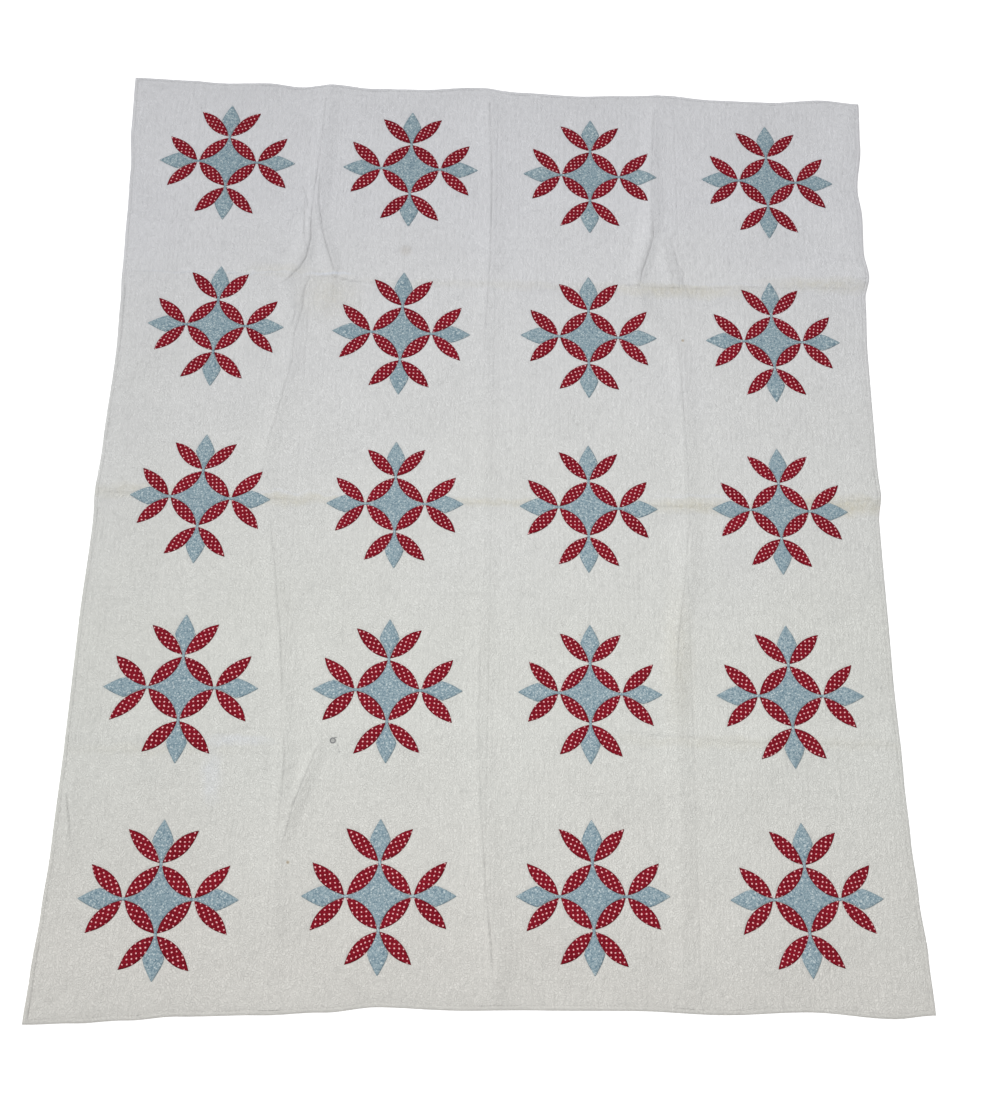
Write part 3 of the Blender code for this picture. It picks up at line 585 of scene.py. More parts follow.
def start_group(name, numbers, outputs):
    """Start a shader group that reads the cloth's places and some numbers, and puts out numbers."""
    group = bpy.data.node_groups.new(name, "ShaderNodeTree")
    group.interface.new_socket("Cloth", in_out="INPUT", socket_type="NodeSocketVector")
    for title, value in numbers.items():
        socket = group.interface.new_socket(title, in_out="INPUT", socket_type="NodeSocketFloat")
        socket.default_value = value
    for title in outputs:
        group.interface.new_socket(title, in_out="OUTPUT", socket_type="NodeSocketFloat")
    return group, group.nodes.new("NodeGroupInput").outputs, group.nodes.new("NodeGroupOutput").inputs


def math_node(tree, operation, *values):
    """Work out one sum from sockets or plain numbers."""
    return add_node(tree, "Math", dict(enumerate(values)), operation=operation).outputs[0]


def vector_node(tree, operation, *values):
    """Work out one sum of coordinates or colours."""
    return add_node(tree, "VectorMath", dict(enumerate(values)), operation=operation).outputs[0]


def vector_scaled(tree, vector, scale):
    """Multiply a coordinate or a colour by one number."""
    return add_node(tree, "VectorMath", {0: vector, "Scale": scale}, operation="SCALE").outputs[0]


def parts_of(tree, vector):
    """Split a coordinate into its X, Y and Z."""
    return add_node(tree, "SeparateXYZ", {0: vector}).outputs


def noise_at(tree, vector, scale, detail=3.0, roughness=0.55, output="Fac"):
    """Add a noise texture with a size given in features for each metre."""
    inputs = {"Vector": vector, "Scale": scale, "Detail": detail, "Roughness": roughness}
    return add_node(tree, "TexNoise", inputs).outputs[output]


def stretched(tree, value, low, high, to_low=0.0, to_high=1.0):
    """Map a range of values onto another, clamped."""
    inputs = {"Value": value, "From Min": low, "From Max": high, "To Min": to_low, "To Max": to_high}
    return add_node(tree, "MapRange", inputs).outputs["Result"]


print("node helpers ready")


# %% Woven threads
WANDER_SIZE = 260.0
WANDER_TURNS = 3.0


def build_weave_group():
    """Plain weave: one thread over, one under, as a height."""
    group, given, out = start_group("plain_weave", {"Threads per metre": 1600.0}, ("Height",))
    bend = math_node(group, "MULTIPLY", noise_at(group, given["Cloth"], WANDER_SIZE, 2.0), WANDER_TURNS)
    scaled = parts_of(group, vector_scaled(group, given["Cloth"], given["Threads per metre"]))
    threads = []
    for side in ("X", "Y"):
        place = math_node(group, "ADD", scaled[side], bend)
        threads.append(math_node(group, "SINE", math_node(group, "MULTIPLY", place, math.pi)))
    over = math_node(group, "MULTIPLY", *threads)
    feed(group, out["Height"], math_node(group, "MULTIPLY_ADD", over, 0.5, 0.5))
    return group


WEAVE = build_weave_group()
print("group", WEAVE.name)

# %% Mottling and slubs
CLOUD_SIZE = 7.0
CLOUD_SHARE = 0.45
PATCH_SIZE = 60.0
PATCH_SHARE = 0.35
GRAIN_SIZE = 420.0
GRAIN_SHARE = 0.20
GRAIN_HEIGHT = 0.6
SLUB_SIZE = (900.0, 26.0, 1.0)
SLUB_RANGE = (0.62, 0.80)


def build_mottle_group():
    """Cloudy tone of washed cotton, with a few thick slub threads."""
    group, given, out = start_group("washed_cotton", {"Slubs": 0.5}, ("Tone", "Height"))
    clouds = noise_at(group, given["Cloth"], CLOUD_SIZE, 4.0)
    patches = noise_at(group, given["Cloth"], PATCH_SIZE, 4.0, 0.6)
    grain = noise_at(group, given["Cloth"], GRAIN_SIZE, 2.0)
    squeezed = add_node(group, "Mapping", {"Vector": given["Cloth"], "Scale": SLUB_SIZE}).outputs[0]
    slub = stretched(group, noise_at(group, squeezed, 1.0, 1.0), *SLUB_RANGE)
    slub = math_node(group, "MULTIPLY", slub, given["Slubs"])
    tone = math_node(group, "MULTIPLY", clouds, CLOUD_SHARE)
    tone = math_node(group, "MULTIPLY_ADD", patches, PATCH_SHARE, tone)
    feed(group, out["Tone"], math_node(group, "MULTIPLY_ADD", grain, GRAIN_SHARE, tone))
    feed(group, out["Height"], math_node(group, "MULTIPLY_ADD", grain, GRAIN_HEIGHT, slub))
    return group


MOTTLE = build_mottle_group()
print("group", MOTTLE.name)

# %% Printed dots and the small mottled print
DOT_PULL = 0.0048
PULL_SIZE = 90.0
SPECK_SIZE = 250.0
SPECK_RIM = (0.16, 0.46)
CURL_SIZE = 185.0
CURL_RIM = (0.03, 0.16)
BREAK_SIZE = 170.0
BREAK_RANGE = (0.40, 0.58)
DARK_LEAST = 0.35


def build_dots_group():
    """Small round dots in offset rows, as a mask that is 1 inside a dot."""
    numbers = {"Rows per metre": 80.0, "Dot size": 0.15, "Blur": 0.04}
    group, given, out = start_group("printed_dots", numbers, ("Mask",))
    pull = vector_scaled(group, noise_at(group, given["Cloth"], PULL_SIZE, 2.0, 0.5, "Color"), DOT_PULL)
    moved = vector_node(group, "ADD", given["Cloth"], pull)
    scaled = parts_of(group, vector_scaled(group, moved, given["Rows per metre"]))
    nearest = []
    for offset in (0.0, 0.5):
        squares = []
        for side in ("X", "Y"):
            shifted = math_node(group, "ADD", scaled[side], offset)
            part = math_node(group, "SUBTRACT", math_node(group, "FRACT", shifted), 0.5)
            squares.append(math_node(group, "MULTIPLY", part, part))
        nearest.append(math_node(group, "SQRT", math_node(group, "ADD", *squares)))
    rim = math_node(group, "SUBTRACT", given["Dot size"], math_node(group, "MINIMUM", *nearest))
    soft = math_node(group, "ADD", math_node(group, "DIVIDE", rim, given["Blur"]), 0.5)
    feed(group, out["Mask"], math_node(group, "MINIMUM", math_node(group, "MAXIMUM", soft, 0.0), 1.0))
    return group


def build_calico_group():
    """A tiny all-over print: pale specks and darker curls close together."""
    group, given, out = start_group("tiny_calico", {"Size": 1.0}, ("Pale", "Dark"))
    cloth = vector_scaled(group, given["Cloth"], given["Size"])
    specks = add_node(group, "TexVoronoi", {"Vector": cloth, "Scale": SPECK_SIZE})
    curl_inputs = {"Vector": cloth, "Scale": CURL_SIZE}
    curls = add_node(group, "TexVoronoi", curl_inputs, feature="DISTANCE_TO_EDGE")
    pale = stretched(group, specks.outputs["Distance"], *SPECK_RIM, 1.0, 0.0)
    dark = stretched(group, curls.outputs["Distance"], *CURL_RIM, 1.0, 0.0)
    broken = stretched(group, noise_at(group, cloth, BREAK_SIZE, 3.0), *BREAK_RANGE)
    gaps = stretched(group, broken, 0.0, 1.0, 1.0, DARK_LEAST)
    feed(group, out["Pale"], math_node(group, "MULTIPLY", pale, broken))
    feed(group, out["Dark"], math_node(group, "MULTIPLY", dark, gaps))
    return group


DOTS = build_dots_group()
CALICO = build_calico_group()
print("groups", DOTS.name, CALICO.name)

# %% [markdown]
# ## Marks of age, and painted highlights
# Where folds lay open to the air the cotton has turned cream, most at the ends of the middle fold. Along the
# tops of the fold ridges a cool white is painted on as a highlight. There are a few small spots and one faint
# grey ring. Each mark is a row with its place and size. Paint by hand would look as good, but rows can be
# read and moved.

# %% Age marks and painted highlights
MARK_COLUMNS = ("x", "y", "half_length", "half_height", "strength")
CREAM_MARKS = (
    (-0.003, 0.003, 0.88, 0.009, 0.62), (-0.709, 0.012, 0.18, 0.014, 0.60), (0.745, 0.016, 0.16, 0.020, 1.00),
    (-0.455, -0.003, 0.10, 0.011, 0.70), (0.435, 0.005, 0.09, 0.015, 0.85), (0.755, 0.574, 0.12, 0.018, 0.55),
    (0.420, 0.550, 0.16, 0.017, 0.70), (-0.001, 0.552, 0.30, 0.010, 0.25), (-0.390, 0.515, 0.06, 0.05, 0.38),
    (-0.510, 0.575, 0.06, 0.016, 0.35), (0.551, -0.527, 0.30, 0.012, 0.35), (-0.700, -0.57, 0.14, 0.01, 0.25),
    (0.394, -0.348, 0.03, 0.14, 0.35),
)
# Painted highlights: a cool white along the tops of the fold ridges, where the light catches them.
RIDGE_HIGHLIGHTS = (
    (-0.391, 0.569, 0.055, 0.006, 1.00), (-0.640, 0.566, 0.21, 0.004, 0.50),
    (-0.527, -0.547, 0.07, 0.012, 0.50), (-0.572, -0.620, 0.022, 0.060, 0.40),
    (0.480, 0.568, 0.15, 0.004, 0.35), (-0.260, 0.012, 0.18, 0.004, 0.35),
    (-0.560, 0.016, 0.200, 0.005, 0.40), (0.560, 0.028, 0.200, 0.005, 0.40),
)
BROWN_SPOTS = (
    (-0.218, 0.639, 0.014, 0.014, 0.18), (0.427, 0.419, 0.0035, 0.0035, 0.8),
    (-0.405, -0.794, 0.0035, 0.0035, 0.8), (0.186, -0.299, 0.0025, 0.0025, 0.5),
)
GREY_SPOTS = (
    (-0.3168, -0.5517, 0.0018, 0.0018, 0.35), (-0.3131, -0.5648, 0.0022, 0.0022, 0.45),
    (-0.3225, -0.5350, 0.0035, 0.0012, 0.80), (-0.3275, -0.5415, 0.0045, 0.0045, 0.42),
)
RING_PLACE = (-0.3275, -0.5415)
RING_RADIUS = 0.0050
RING_WIDTH = 0.0018
RING_RIM = (0.10, RING_WIDTH / RING_RADIUS * 1.3)
RING_STRENGTH = 0.85
FRAY = 0.034
FRAY_SIZE = 26.0
BLOTCH_SIZE = 70.0
BLOTCH_TONES = (0.34, 0.66, 0.45, 1.0)
CREAM_RIM = (0.25, 1.5)
RIDGE_HIGHLIGHT_RIM = (0.35, 1.3)
SPOT_RIM = (0.4, 1.3)


def away_from(tree, cloth, x, y, half_length, half_height):
    """Return how far the cloth lies from a place, counted in an oval's half sizes."""
    inputs = {"Vector": cloth, "Location": (x, y, 0.0), "Scale": (half_length, half_height, 1.0)}
    place = add_node(tree, "Mapping", inputs, vector_type="TEXTURE").outputs[0]
    return add_node(tree, "VectorMath", {0: place}, operation="LENGTH").outputs["Value"]


def marked(tree, cloth, rows, rim):
    """Join oval marks into one mask, each fading out over its rim."""
    strongest = None
    for *place_and_sizes, strength in rows:
        away = away_from(tree, cloth, *place_and_sizes)
        mask = stretched(tree, away, *rim, strength, 0.0)
        strongest = mask if strongest is None else math_node(tree, "MAXIMUM", strongest, mask)
    return strongest


def build_age_and_highlight_group():
    """Cream on the folds, painted highlights on their ridges, brown and grey spots and one grey ring, as four
    masks.
    """
    group, given, out = start_group("age_marks_and_highlights", {}, ("Cream", "Pale", "Brown", "Grey"))
    cloth = given["Cloth"]
    drift = noise_at(group, cloth, FRAY_SIZE, 4.0, 0.5, "Color")
    moved = vector_node(group, "MULTIPLY_ADD", drift, (FRAY, FRAY, 0.0), cloth)
    frayed = vector_node(group, "SUBTRACT", moved, (FRAY / 2, FRAY / 2, 0.0))
    blotch = stretched(group, noise_at(group, cloth, BLOTCH_SIZE, 4.0, 0.65), *BLOTCH_TONES)
    cream = marked(group, frayed, CREAM_MARKS, CREAM_RIM)
    pale = marked(group, frayed, RIDGE_HIGHLIGHTS, RIDGE_HIGHLIGHT_RIM)
    ring_far = away_from(group, cloth, *RING_PLACE, RING_RADIUS, RING_RADIUS)
    from_ring = math_node(group, "SUBTRACT", ring_far, 1.0)
    off_ring = math_node(group, "ABSOLUTE", from_ring)
    ring = stretched(group, off_ring, *RING_RIM, RING_STRENGTH, 0.0)
    grey = math_node(group, "MAXIMUM", ring, marked(group, cloth, GREY_SPOTS, SPOT_RIM))
    feed(group, out["Cream"], math_node(group, "MULTIPLY", cream, blotch))
    feed(group, out["Pale"], math_node(group, "MULTIPLY", pale, blotch))
    feed(group, out["Brown"], marked(group, cloth, BROWN_SPOTS, SPOT_RIM))
    feed(group, out["Grey"], grey)
    return group


AGE_AND_HIGHLIGHTS = build_age_and_highlight_group()
print("age marks", len(CREAM_MARKS) + len(RIDGE_HIGHLIGHTS) + len(BROWN_SPOTS) + len(GREY_SPOTS) + 1)

# %% [markdown]
# ## The cloths
# Washed cotton is matt with a faint fuzz, so each material is rough with a little sheen. The colours of the
# print and the age, the painted highlights on the fold ridges and the painted shade in the valleys are mixed
# before the shader, and the weave goes through a Bump node. Colour from the photograph's pixels isn't used:
# each cloth has a few named tones.

# %% Material helpers
SHEEN_ROUGHNESS = 0.6


def start_cloth(name, roughness, sheen, specular=0.25):
    """Start a cotton material and return it with its tree, shader and cloth coordinates."""
    cloth = bpy.data.materials.new(name)
    cloth.use_nodes = True
    tree = cloth.node_tree
    shader = tree.nodes["Principled BSDF"]
    shader.inputs["Roughness"].default_value = roughness
    shader.inputs["Sheen Weight"].default_value = sheen
    shader.inputs["Sheen Roughness"].default_value = SHEEN_ROUGHNESS
    shader.inputs["Specular IOR Level"].default_value = specular
    return cloth, tree, shader, add_node(tree, "UVMap", {}, uv_map=CLOTH_MAP).outputs["UV"]


def place_group(tree, group, cloth, **settings):
    """Place a shared group in a material with its own values, and return what it puts out."""
    values = {title.replace("_", " "): value for title, value in settings.items()}
    return add_node(tree, "Group", {"Cloth": cloth, **values}, node_tree=group).outputs


def mixed(tree, amount, first, second):
    """Mix two colours by a mask; either colour may be a plain tone or a socket."""
    node = add_node(tree, "Mix", {"Factor": amount}, data_type="RGBA")
    sockets = [socket for socket in node.inputs if socket.type == "RGBA"]
    for socket, colour in zip(sockets, (first, second)):
        feed(tree, socket, (*colour, 1.0) if isinstance(colour, tuple) else colour)
    return [socket for socket in node.outputs if socket.type == "RGBA"][0]


def darkened(tree, colour, share):
    """Darken a colour in the cloth's valleys with painted shade and a little grime."""
    valley = add_node(tree, "Attribute", {}, attribute_name=VALLEY).outputs["Fac"]
    keep = math_node(tree, "SUBTRACT", 1.0, math_node(tree, "MULTIPLY", valley, share))
    return vector_scaled(tree, colour, keep)


def bump(tree, shader, *layers):
    """Chain bumps into the shader, each layer a height, its depth in metres and its strength."""
    below = {}
    for height, depth, strength in layers:
        inputs = {"Height": height, "Distance": depth, "Strength": strength, **below}
        below = {"Normal": add_node(tree, "Bump", inputs).outputs["Normal"]}
    feed(tree, shader.inputs["Normal"], below["Normal"])


print("material helpers ready")

# %% Off-white muslin
MUSLIN_HEAD = (0.752, 0.757, 0.783)
MUSLIN_MIDDLE = (0.738, 0.743, 0.706)
MUSLIN_FOOT = (0.722, 0.708, 0.668)
MUSLIN_PLAIN = (0.740, 0.740, 0.725)
CREAM = (0.685, 0.660, 0.560)
# The cool white painted along the fold ridges as a highlight.
HIGHLIGHT_WHITE = (0.770, 0.800, 0.865)
BROWN = (0.430, 0.340, 0.220)
RING_GREY = (0.110, 0.115, 0.130)
RIPPLE_TURN = (0.0, 0.0, 0.62)
RIPPLE_SCALE = (1.15, 0.90, 1.0)
RIPPLES_PER_METRE = 190.0
RIPPLE_RIM = (0.0, 0.095)
RIPPLE_DEPTH = 0.0013
MUSLIN_SLUB_DEPTH = 0.0009
MUSLIN_WEAVE_DEPTH = 0.00025
MUSLIN_TONES = (0.36, 0.64, 0.955, 1.025)
MUSLIN_SHADE = 0.45
DRIFT_SIZE = 2.6
DRIFT_SHARE = 0.5
HEAD_TO_MIDDLE = (1.05, -0.05)
MIDDLE_TO_FOOT = (-0.30, -0.75)


def make_muslin(name, aged):
    """Old white cotton: cool toward the head, warmer toward the foot, cream on the folds, painted highlights
    on their ridges and painted shade in the valleys.
    """
    cloth, tree, shader, at = start_cloth(name, 0.93, 0.10)
    mottle = place_group(tree, MOTTLE, at, Slubs=0.5)
    colour = MUSLIN_PLAIN
    if aged:
        north, wander = parts_of(tree, at)["Y"], noise_at(tree, at, DRIFT_SIZE, 3.0)
        drift = math_node(tree, "MULTIPLY_ADD", wander, DRIFT_SHARE, north)
        colour = mixed(tree, stretched(tree, drift, *HEAD_TO_MIDDLE), MUSLIN_HEAD, MUSLIN_MIDDLE)
        colour = mixed(tree, stretched(tree, drift, *MIDDLE_TO_FOOT), colour, MUSLIN_FOOT)
        age_and_highlights = place_group(tree, AGE_AND_HIGHLIGHTS, at)
        # Pale is the painted highlight on the fold ridges; the other three are marks of age.
        for title, tone in (("Cream", CREAM), ("Pale", HIGHLIGHT_WHITE), ("Brown", BROWN), ("Grey", RING_GREY)):
            colour = mixed(tree, age_and_highlights[title], colour, tone)
    tone = stretched(tree, mottle["Tone"], *MUSLIN_TONES)
    colour = darkened(tree, vector_scaled(tree, colour, tone), MUSLIN_SHADE)
    feed(tree, shader.inputs["Base Color"], colour)
    weave = place_group(tree, WEAVE, at, Threads_per_metre=1500.0)
    turned = add_node(tree, "Mapping", {"Vector": at, "Rotation": RIPPLE_TURN, "Scale": RIPPLE_SCALE})
    ripple = math_node(tree, "SUBTRACT", noise_at(tree, turned.outputs[0], RIPPLES_PER_METRE, 2.0), 0.5)
    ripple = stretched(tree, math_node(tree, "ABSOLUTE", ripple), *RIPPLE_RIM)
    slubs_and_threads = (
        (mottle["Height"], MUSLIN_SLUB_DEPTH, 0.5), (weave["Height"], MUSLIN_WEAVE_DEPTH, 0.5),
    )
    bump(tree, shader, (ripple, RIPPLE_DEPTH, 0.76), *slubs_and_threads)
    return cloth


MUSLIN = make_muslin("aged_muslin", aged=True)
BACKING = make_muslin("backing_muslin", aged=False)
print("cloth", MUSLIN.name)

# %% Red dotted calico
RED = (0.205, 0.006, 0.015)
RED_WORN = (0.300, 0.010, 0.024)
DOT = (0.970, 0.510, 0.530)
WORN_RANGE = (0.35, 0.68)
THREAD_SIZE = 380.0
THREAD_TONES = (0.36, 0.64, 0.45, 1.22)
RED_SHADE = 0.60
CALICO_SLUB_DEPTH = 0.0006
CALICO_WEAVE_DEPTH = 0.0002


def finish_calico(tree, shader, at, mottle, colour, shade):
    """Shade a printed cotton in its valleys and give it a fine, even surface."""
    feed(tree, shader.inputs["Base Color"], darkened(tree, colour, shade))
    weave = place_group(tree, WEAVE, at, Threads_per_metre=1700.0)
    slubs, threads = (mottle["Height"], CALICO_SLUB_DEPTH, 0.4), (weave["Height"], CALICO_WEAVE_DEPTH, 0.5)
    bump(tree, shader, slubs, threads)


def make_red_calico():
    """Turkey red cotton with rows of small white dots that have taken up a little pink."""
    cloth, tree, shader, at = start_cloth("red_dotted_calico", 0.95, 0.015, specular=0.08)
    mottle = place_group(tree, MOTTLE, at, Slubs=0.3)
    colour = mixed(tree, stretched(tree, mottle["Tone"], *WORN_RANGE), RED, RED_WORN)
    dots = place_group(tree, DOTS, at, Rows_per_metre=77.0, Dot_size=0.116, Blur=0.07)
    threads = stretched(tree, noise_at(tree, at, THREAD_SIZE, 2.0, 0.6), *THREAD_TONES)
    colour = mixed(tree, dots["Mask"], vector_scaled(tree, colour, threads), DOT)
    finish_calico(tree, shader, at, mottle, colour, RED_SHADE)
    return cloth


RED_CALICO = make_red_calico()
print("cloth", RED_CALICO.name)

# %% Light blue calico
BLUE = (0.240, 0.336, 0.384)
BLUE_PALE = (0.620, 0.690, 0.690)
BLUE_DARK = (0.100, 0.175, 0.230)
FADE_TONES = (0.3, 0.7, 0.0, 0.25)
CURL_STRENGTH = 0.95
BLUE_SHADE = 0.30


def make_blue_calico():
    """Light blue cotton with a tiny print that reads as a mottle from a step away."""
    cloth, tree, shader, at = start_cloth("light_blue_calico", 0.90, 0.10)
    mottle = place_group(tree, MOTTLE, at, Slubs=0.3)
    calico = place_group(tree, CALICO, at, Size=1.0)
    colour = mixed(tree, stretched(tree, mottle["Tone"], *FADE_TONES), BLUE, BLUE_PALE)
    colour = mixed(tree, math_node(tree, "MULTIPLY", calico["Dark"], CURL_STRENGTH), colour, BLUE_DARK)
    colour = mixed(tree, calico["Pale"], colour, BLUE_PALE)
    finish_calico(tree, shader, at, mottle, colour, BLUE_SHADE)
    return cloth


BLUE_CALICO = make_blue_calico()
print("cloth", BLUE_CALICO.name)

# %% [markdown]
# ## Drawing the flowers
# Every block has one flower: a blue star with four petals, and twelve red leaves round it, four lying
# between the arms and eight pointing outward. They were sewn by eye, so a table says how far each one
# lies from the even grid, how far it is turned and how large it came out, and a seeded generator makes
# each leaf a little plumper or leaner. One flower repeated twenty times would look printed.

# %% Flower sizes and outlines
JUNCTION_RADIUS = 0.068
LEAF_REACH = 0.097
LEAF_HALF_WIDTH = 0.0151
LEAF_START = 0.0030
LEAF_LEAST = 0.0008
LEAF_SWING = 0.025
LEAF_LENGTHS = (0.97, 1.02)
OUTER_PLUMPNESS = (0.94, 1.04)
INNER_PLUMPNESS = (0.95, 1.04)
OUTER_LEAN = 0.22
LEANINGS = (0.6, 1.3)
PETAL_COLUMNS = ("from_middle", "half_width")
PETAL_EDGE = (
    (0.100, 0.0300), (0.110, 0.0226), (0.118, 0.0206), (0.127, 0.0172), (0.136, 0.0128),
    (0.145, 0.0078), (0.152, 0.0038), (0.157, 0.0006),
)
UNDERLAP = 0.0014
NECK_HALF = 0.0020
FLOWER_COLUMNS = ("east", "north", "turn", "size")
FLOWER_PLACES = (
    ((-0.002, 0.012, 0.0, 1.03), (0.006, 0.007, 0.0, 1.03),
     (0.007, 0.001, -0.5, 1.02), (0.004, -0.001, -0.5, 1.01)),
    ((0.005, -0.002, -0.5, 0.99), (0.000, -0.009, -0.5, 1.01),
     (0.001, -0.007, 0.0, 1.00), (-0.003, -0.007, 0.5, 0.99)),
    ((0.005, -0.002, -1.0, 0.98), (0.002, -0.006, 1.0, 0.96),
     (-0.002, -0.005, 0.0, 0.97), (-0.008, 0.000, 0.0, 0.96)),
    ((0.000, -0.004, 0.5, 1.03), (0.003, 0.000, 0.5, 1.00),
     (-0.001, 0.002, 0.0, 0.97), (-0.007, 0.006, 1.0, 1.00)),
    ((-0.007, -0.012, 0.5, 1.02), (0.002, 0.002, 1.0, 0.99),
     (0.002, 0.009, 1.0, 0.99), (0.004, 0.011, 1.5, 0.99)),
)
PETAL_START = JUNCTION_RADIUS - 0.006
PETAL_TIP = PETAL_EDGE[-1][0]
OUTLINE_STEPS = 26
draw = np.random.default_rng(41)


def toward(angle):
    """Return a step of length 1 toward an angle."""
    return np.array((math.cos(angle), math.sin(angle)))


def spin_by(angle):
    """Return the matrix that turns plan places by an angle."""
    return np.array(((math.cos(angle), -math.sin(angle)), (math.sin(angle), math.cos(angle))))


def leaf_arch(along):
    """Return an even leaf's half width, for places from 0 to 1 along it."""
    return LEAF_HALF_WIDTH * np.maximum(4.0 * along * (1.0 - along), 0.0)


def leaf_half_widths(along, plump, lean):
    """Return a leaf's half widths on its left and right, for places from 0 to 1 along it."""
    arch, skew = plump * leaf_arch(along), lean * (along - 0.5)
    return np.maximum(arch * (1.0 + skew), LEAF_LEAST), np.maximum(arch * (1.0 - skew), LEAF_LEAST)


def place_leaf(base, tip, along, side):
    """Turn places along and beside a leaf's spine into plan places."""
    run = tip - base
    length = math.hypot(*run)
    forward = run / length
    beside = np.array((-forward[1], forward[0]))
    return base + np.outer(along * length, forward) + np.outer(side, beside)


def petal_half_width(radius):
    """Return how wide a petal is, measured out from the flower's middle."""
    along = np.linspace(0.0, 0.56, 29)
    step, arch = LEAF_REACH * along, leaf_arch(along)
    seam_radius = JUNCTION_RADIUS + (step + arch) / math.sqrt(2)
    seam_half = (step - arch) / math.sqrt(2)
    beside_leaf = np.interp(radius, seam_radius, np.maximum(seam_half, NECK_HALF)) + UNDERLAP
    return np.minimum(beside_leaf, np.interp(radius, *np.array(PETAL_EDGE).T))


def draw_flower(column, row):
    """Settle one flower's middle, turn and leaves."""
    east, north, turn_degrees, size = FLOWER_PLACES[row][column]
    middle = np.array((
        SETTING_X + (column - (COLUMNS - 1) / 2) * BLOCK + east,
        SETTING_Y + ((ROWS - 1) / 2 - row) * BLOCK + north,
    ))
    leaves = []
    for quarter in range(4):
        heading = math.pi / 2 * quarter
        joint = toward(heading) * JUNCTION_RADIUS
        for side in (-1, 1):
            aim = toward(heading + side * math.pi / 4 + draw.uniform(-LEAF_SWING, LEAF_SWING))
            tip = joint + aim * LEAF_REACH * draw.uniform(*LEAF_LENGTHS)
            lean = -side * OUTER_LEAN * draw.uniform(*LEANINGS)
            leaves.append((joint + aim * LEAF_START, tip, draw.uniform(*OUTER_PLUMPNESS), lean))
        following = toward(heading + math.pi / 2) * JUNCTION_RADIUS
        run = (following - joint) / math.hypot(*(following - joint))
        start, stop = joint + run * LEAF_START, following - run * LEAF_START
        leaves.append((start, stop, draw.uniform(*INNER_PLUMPNESS), 0.0))
    spin, label = spin_by(math.radians(turn_degrees)), f"r{row + 1}_c{column + 1}"
    return {"middle": middle, "spin": spin, "size": size, "leaves": leaves, "label": label}


def leaf_outline(leaf):
    """Return one leaf's outline in the flower's own places."""
    base, tip, plump, lean = leaf
    along = np.linspace(0.0, 1.0, OUTLINE_STEPS)
    left, right = leaf_half_widths(along, plump, lean)
    up = place_leaf(base, tip, along, left)
    back = place_leaf(base, tip, along[::-1], -right[::-1])
    return np.vstack([up, back])


def petal_outline(quarter):
    """Return the outline of one petal in the flower's own places."""
    radius = np.linspace(PETAL_START, PETAL_TIP, OUTLINE_STEPS)
    half = petal_half_width(radius)
    plan = np.vstack([np.stack([radius, half], axis=1), np.stack([radius, -half], axis=1)[::-1]])
    return plan @ spin_by(math.pi / 2 * quarter).T


flowers = [draw_flower(column, row) for row in range(ROWS) for column in range(COLUMNS)]
print("flowers", len(flowers), "leaves", sum(len(flower["leaves"]) for flower in flowers))

# %% Distance to a flower's edge
FLOWER_HALF = 0.178
EDGE_MARGIN = 0.012
DEEP_INSIDE = -0.006
FAR_OFF = 0.05
TINY = 1e-12


def signed_distance(places, outline):
    """Return how far places are outside a closed outline, negative inside it."""
    nearest = np.full(len(places), VERY_FAR)
    within = np.zeros(len(places), bool)
    for start, stop in zip(outline, np.roll(outline, -1, axis=0)):
        run = stop - start
        offset = places - start
        part = np.clip(offset @ run / max(run @ run, TINY), 0.0, 1.0)
        away = np.hypot(*(offset - np.outer(part, run)).T)
        nearest = np.minimum(nearest, away)
        crosses = (start[1] > places[:, 1]) != (stop[1] > places[:, 1])
        rise = run[1] if abs(run[1]) > TINY else TINY
        side = start[0] + (places[:, 1] - start[1]) / rise * run[0]
        within ^= crosses & (places[:, 0] < side)
    return np.where(within, -nearest, nearest)


def flower_distance(x, y):
    """Return how far plan places are outside the nearest flower, negative below one."""
    field = np.full(x.shape, FAR_OFF)
    for flower in flowers:
        local = np.stack([x - flower["middle"][0], y - flower["middle"][1]], axis=-1)
        near = np.max(np.abs(local), axis=-1) < FLOWER_HALF
        if not near.any():
            continue
        places = local[near] @ flower["spin"] / flower["size"]
        outlines = [leaf_outline(leaf) for leaf in flower["leaves"]]
        outlines += [petal_outline(quarter) for quarter in range(4)]
        best = np.full(len(places), VERY_FAR)
        for outline in outlines:
            low, high = outline.min(axis=0) - EDGE_MARGIN, outline.max(axis=0) + EDGE_MARGIN
            close = np.all((places > low) & (places < high), axis=1)
            if close.any():
                best[close] = np.minimum(best[close], signed_distance(places[close], outline))
        middle_part = np.abs(places).sum(axis=1) < JUNCTION_RADIUS
        best[middle_part] = np.minimum(best[middle_part], DEEP_INSIDE)
        field[near] = np.minimum(field[near], best)
    return field


print("distances known", FLOWER_HALF, "m about each flower")

# %% [markdown]
# ## The quilted face
# The face is sewn from four columns of blocks. Each column is one fine grid, close enough for every
# stitched channel to have its own puffs. The grid starts even, is pulled to the wavy sides, and then
# lifts over the folds. A subdivision modifier could add the detail, but a grid laid along the channels
# puts its points where the stitches are.

# %% Lay the quilted face
FACE_INSET = 0.0088
PULL_REACH = 0.160
LEFT_REST = -0.871
RIGHT_REST = 0.853
HEAD_REST = 1.090
FOOT_REST = -1.073
ACROSS_STEP = CHANNEL / 4
ALONG_STEP = 0.0039
TUCK_DEPTH = 0.0010
TUCK_REACH = 0.006
DITCH_HALF_WIDTH = 0.0022
BLOCK_SEAM_HALF_WIDTH = 0.0020
BLOCK_SEAM_DEPTH = 0.0004
DITCH_SHARE = 0.9
DITCH_SHADE_WIDTH = 0.0016
DITCH_SHADE = 0.12
STITCH_SHADE = 0.20
SEAM_SHADE = 0.05


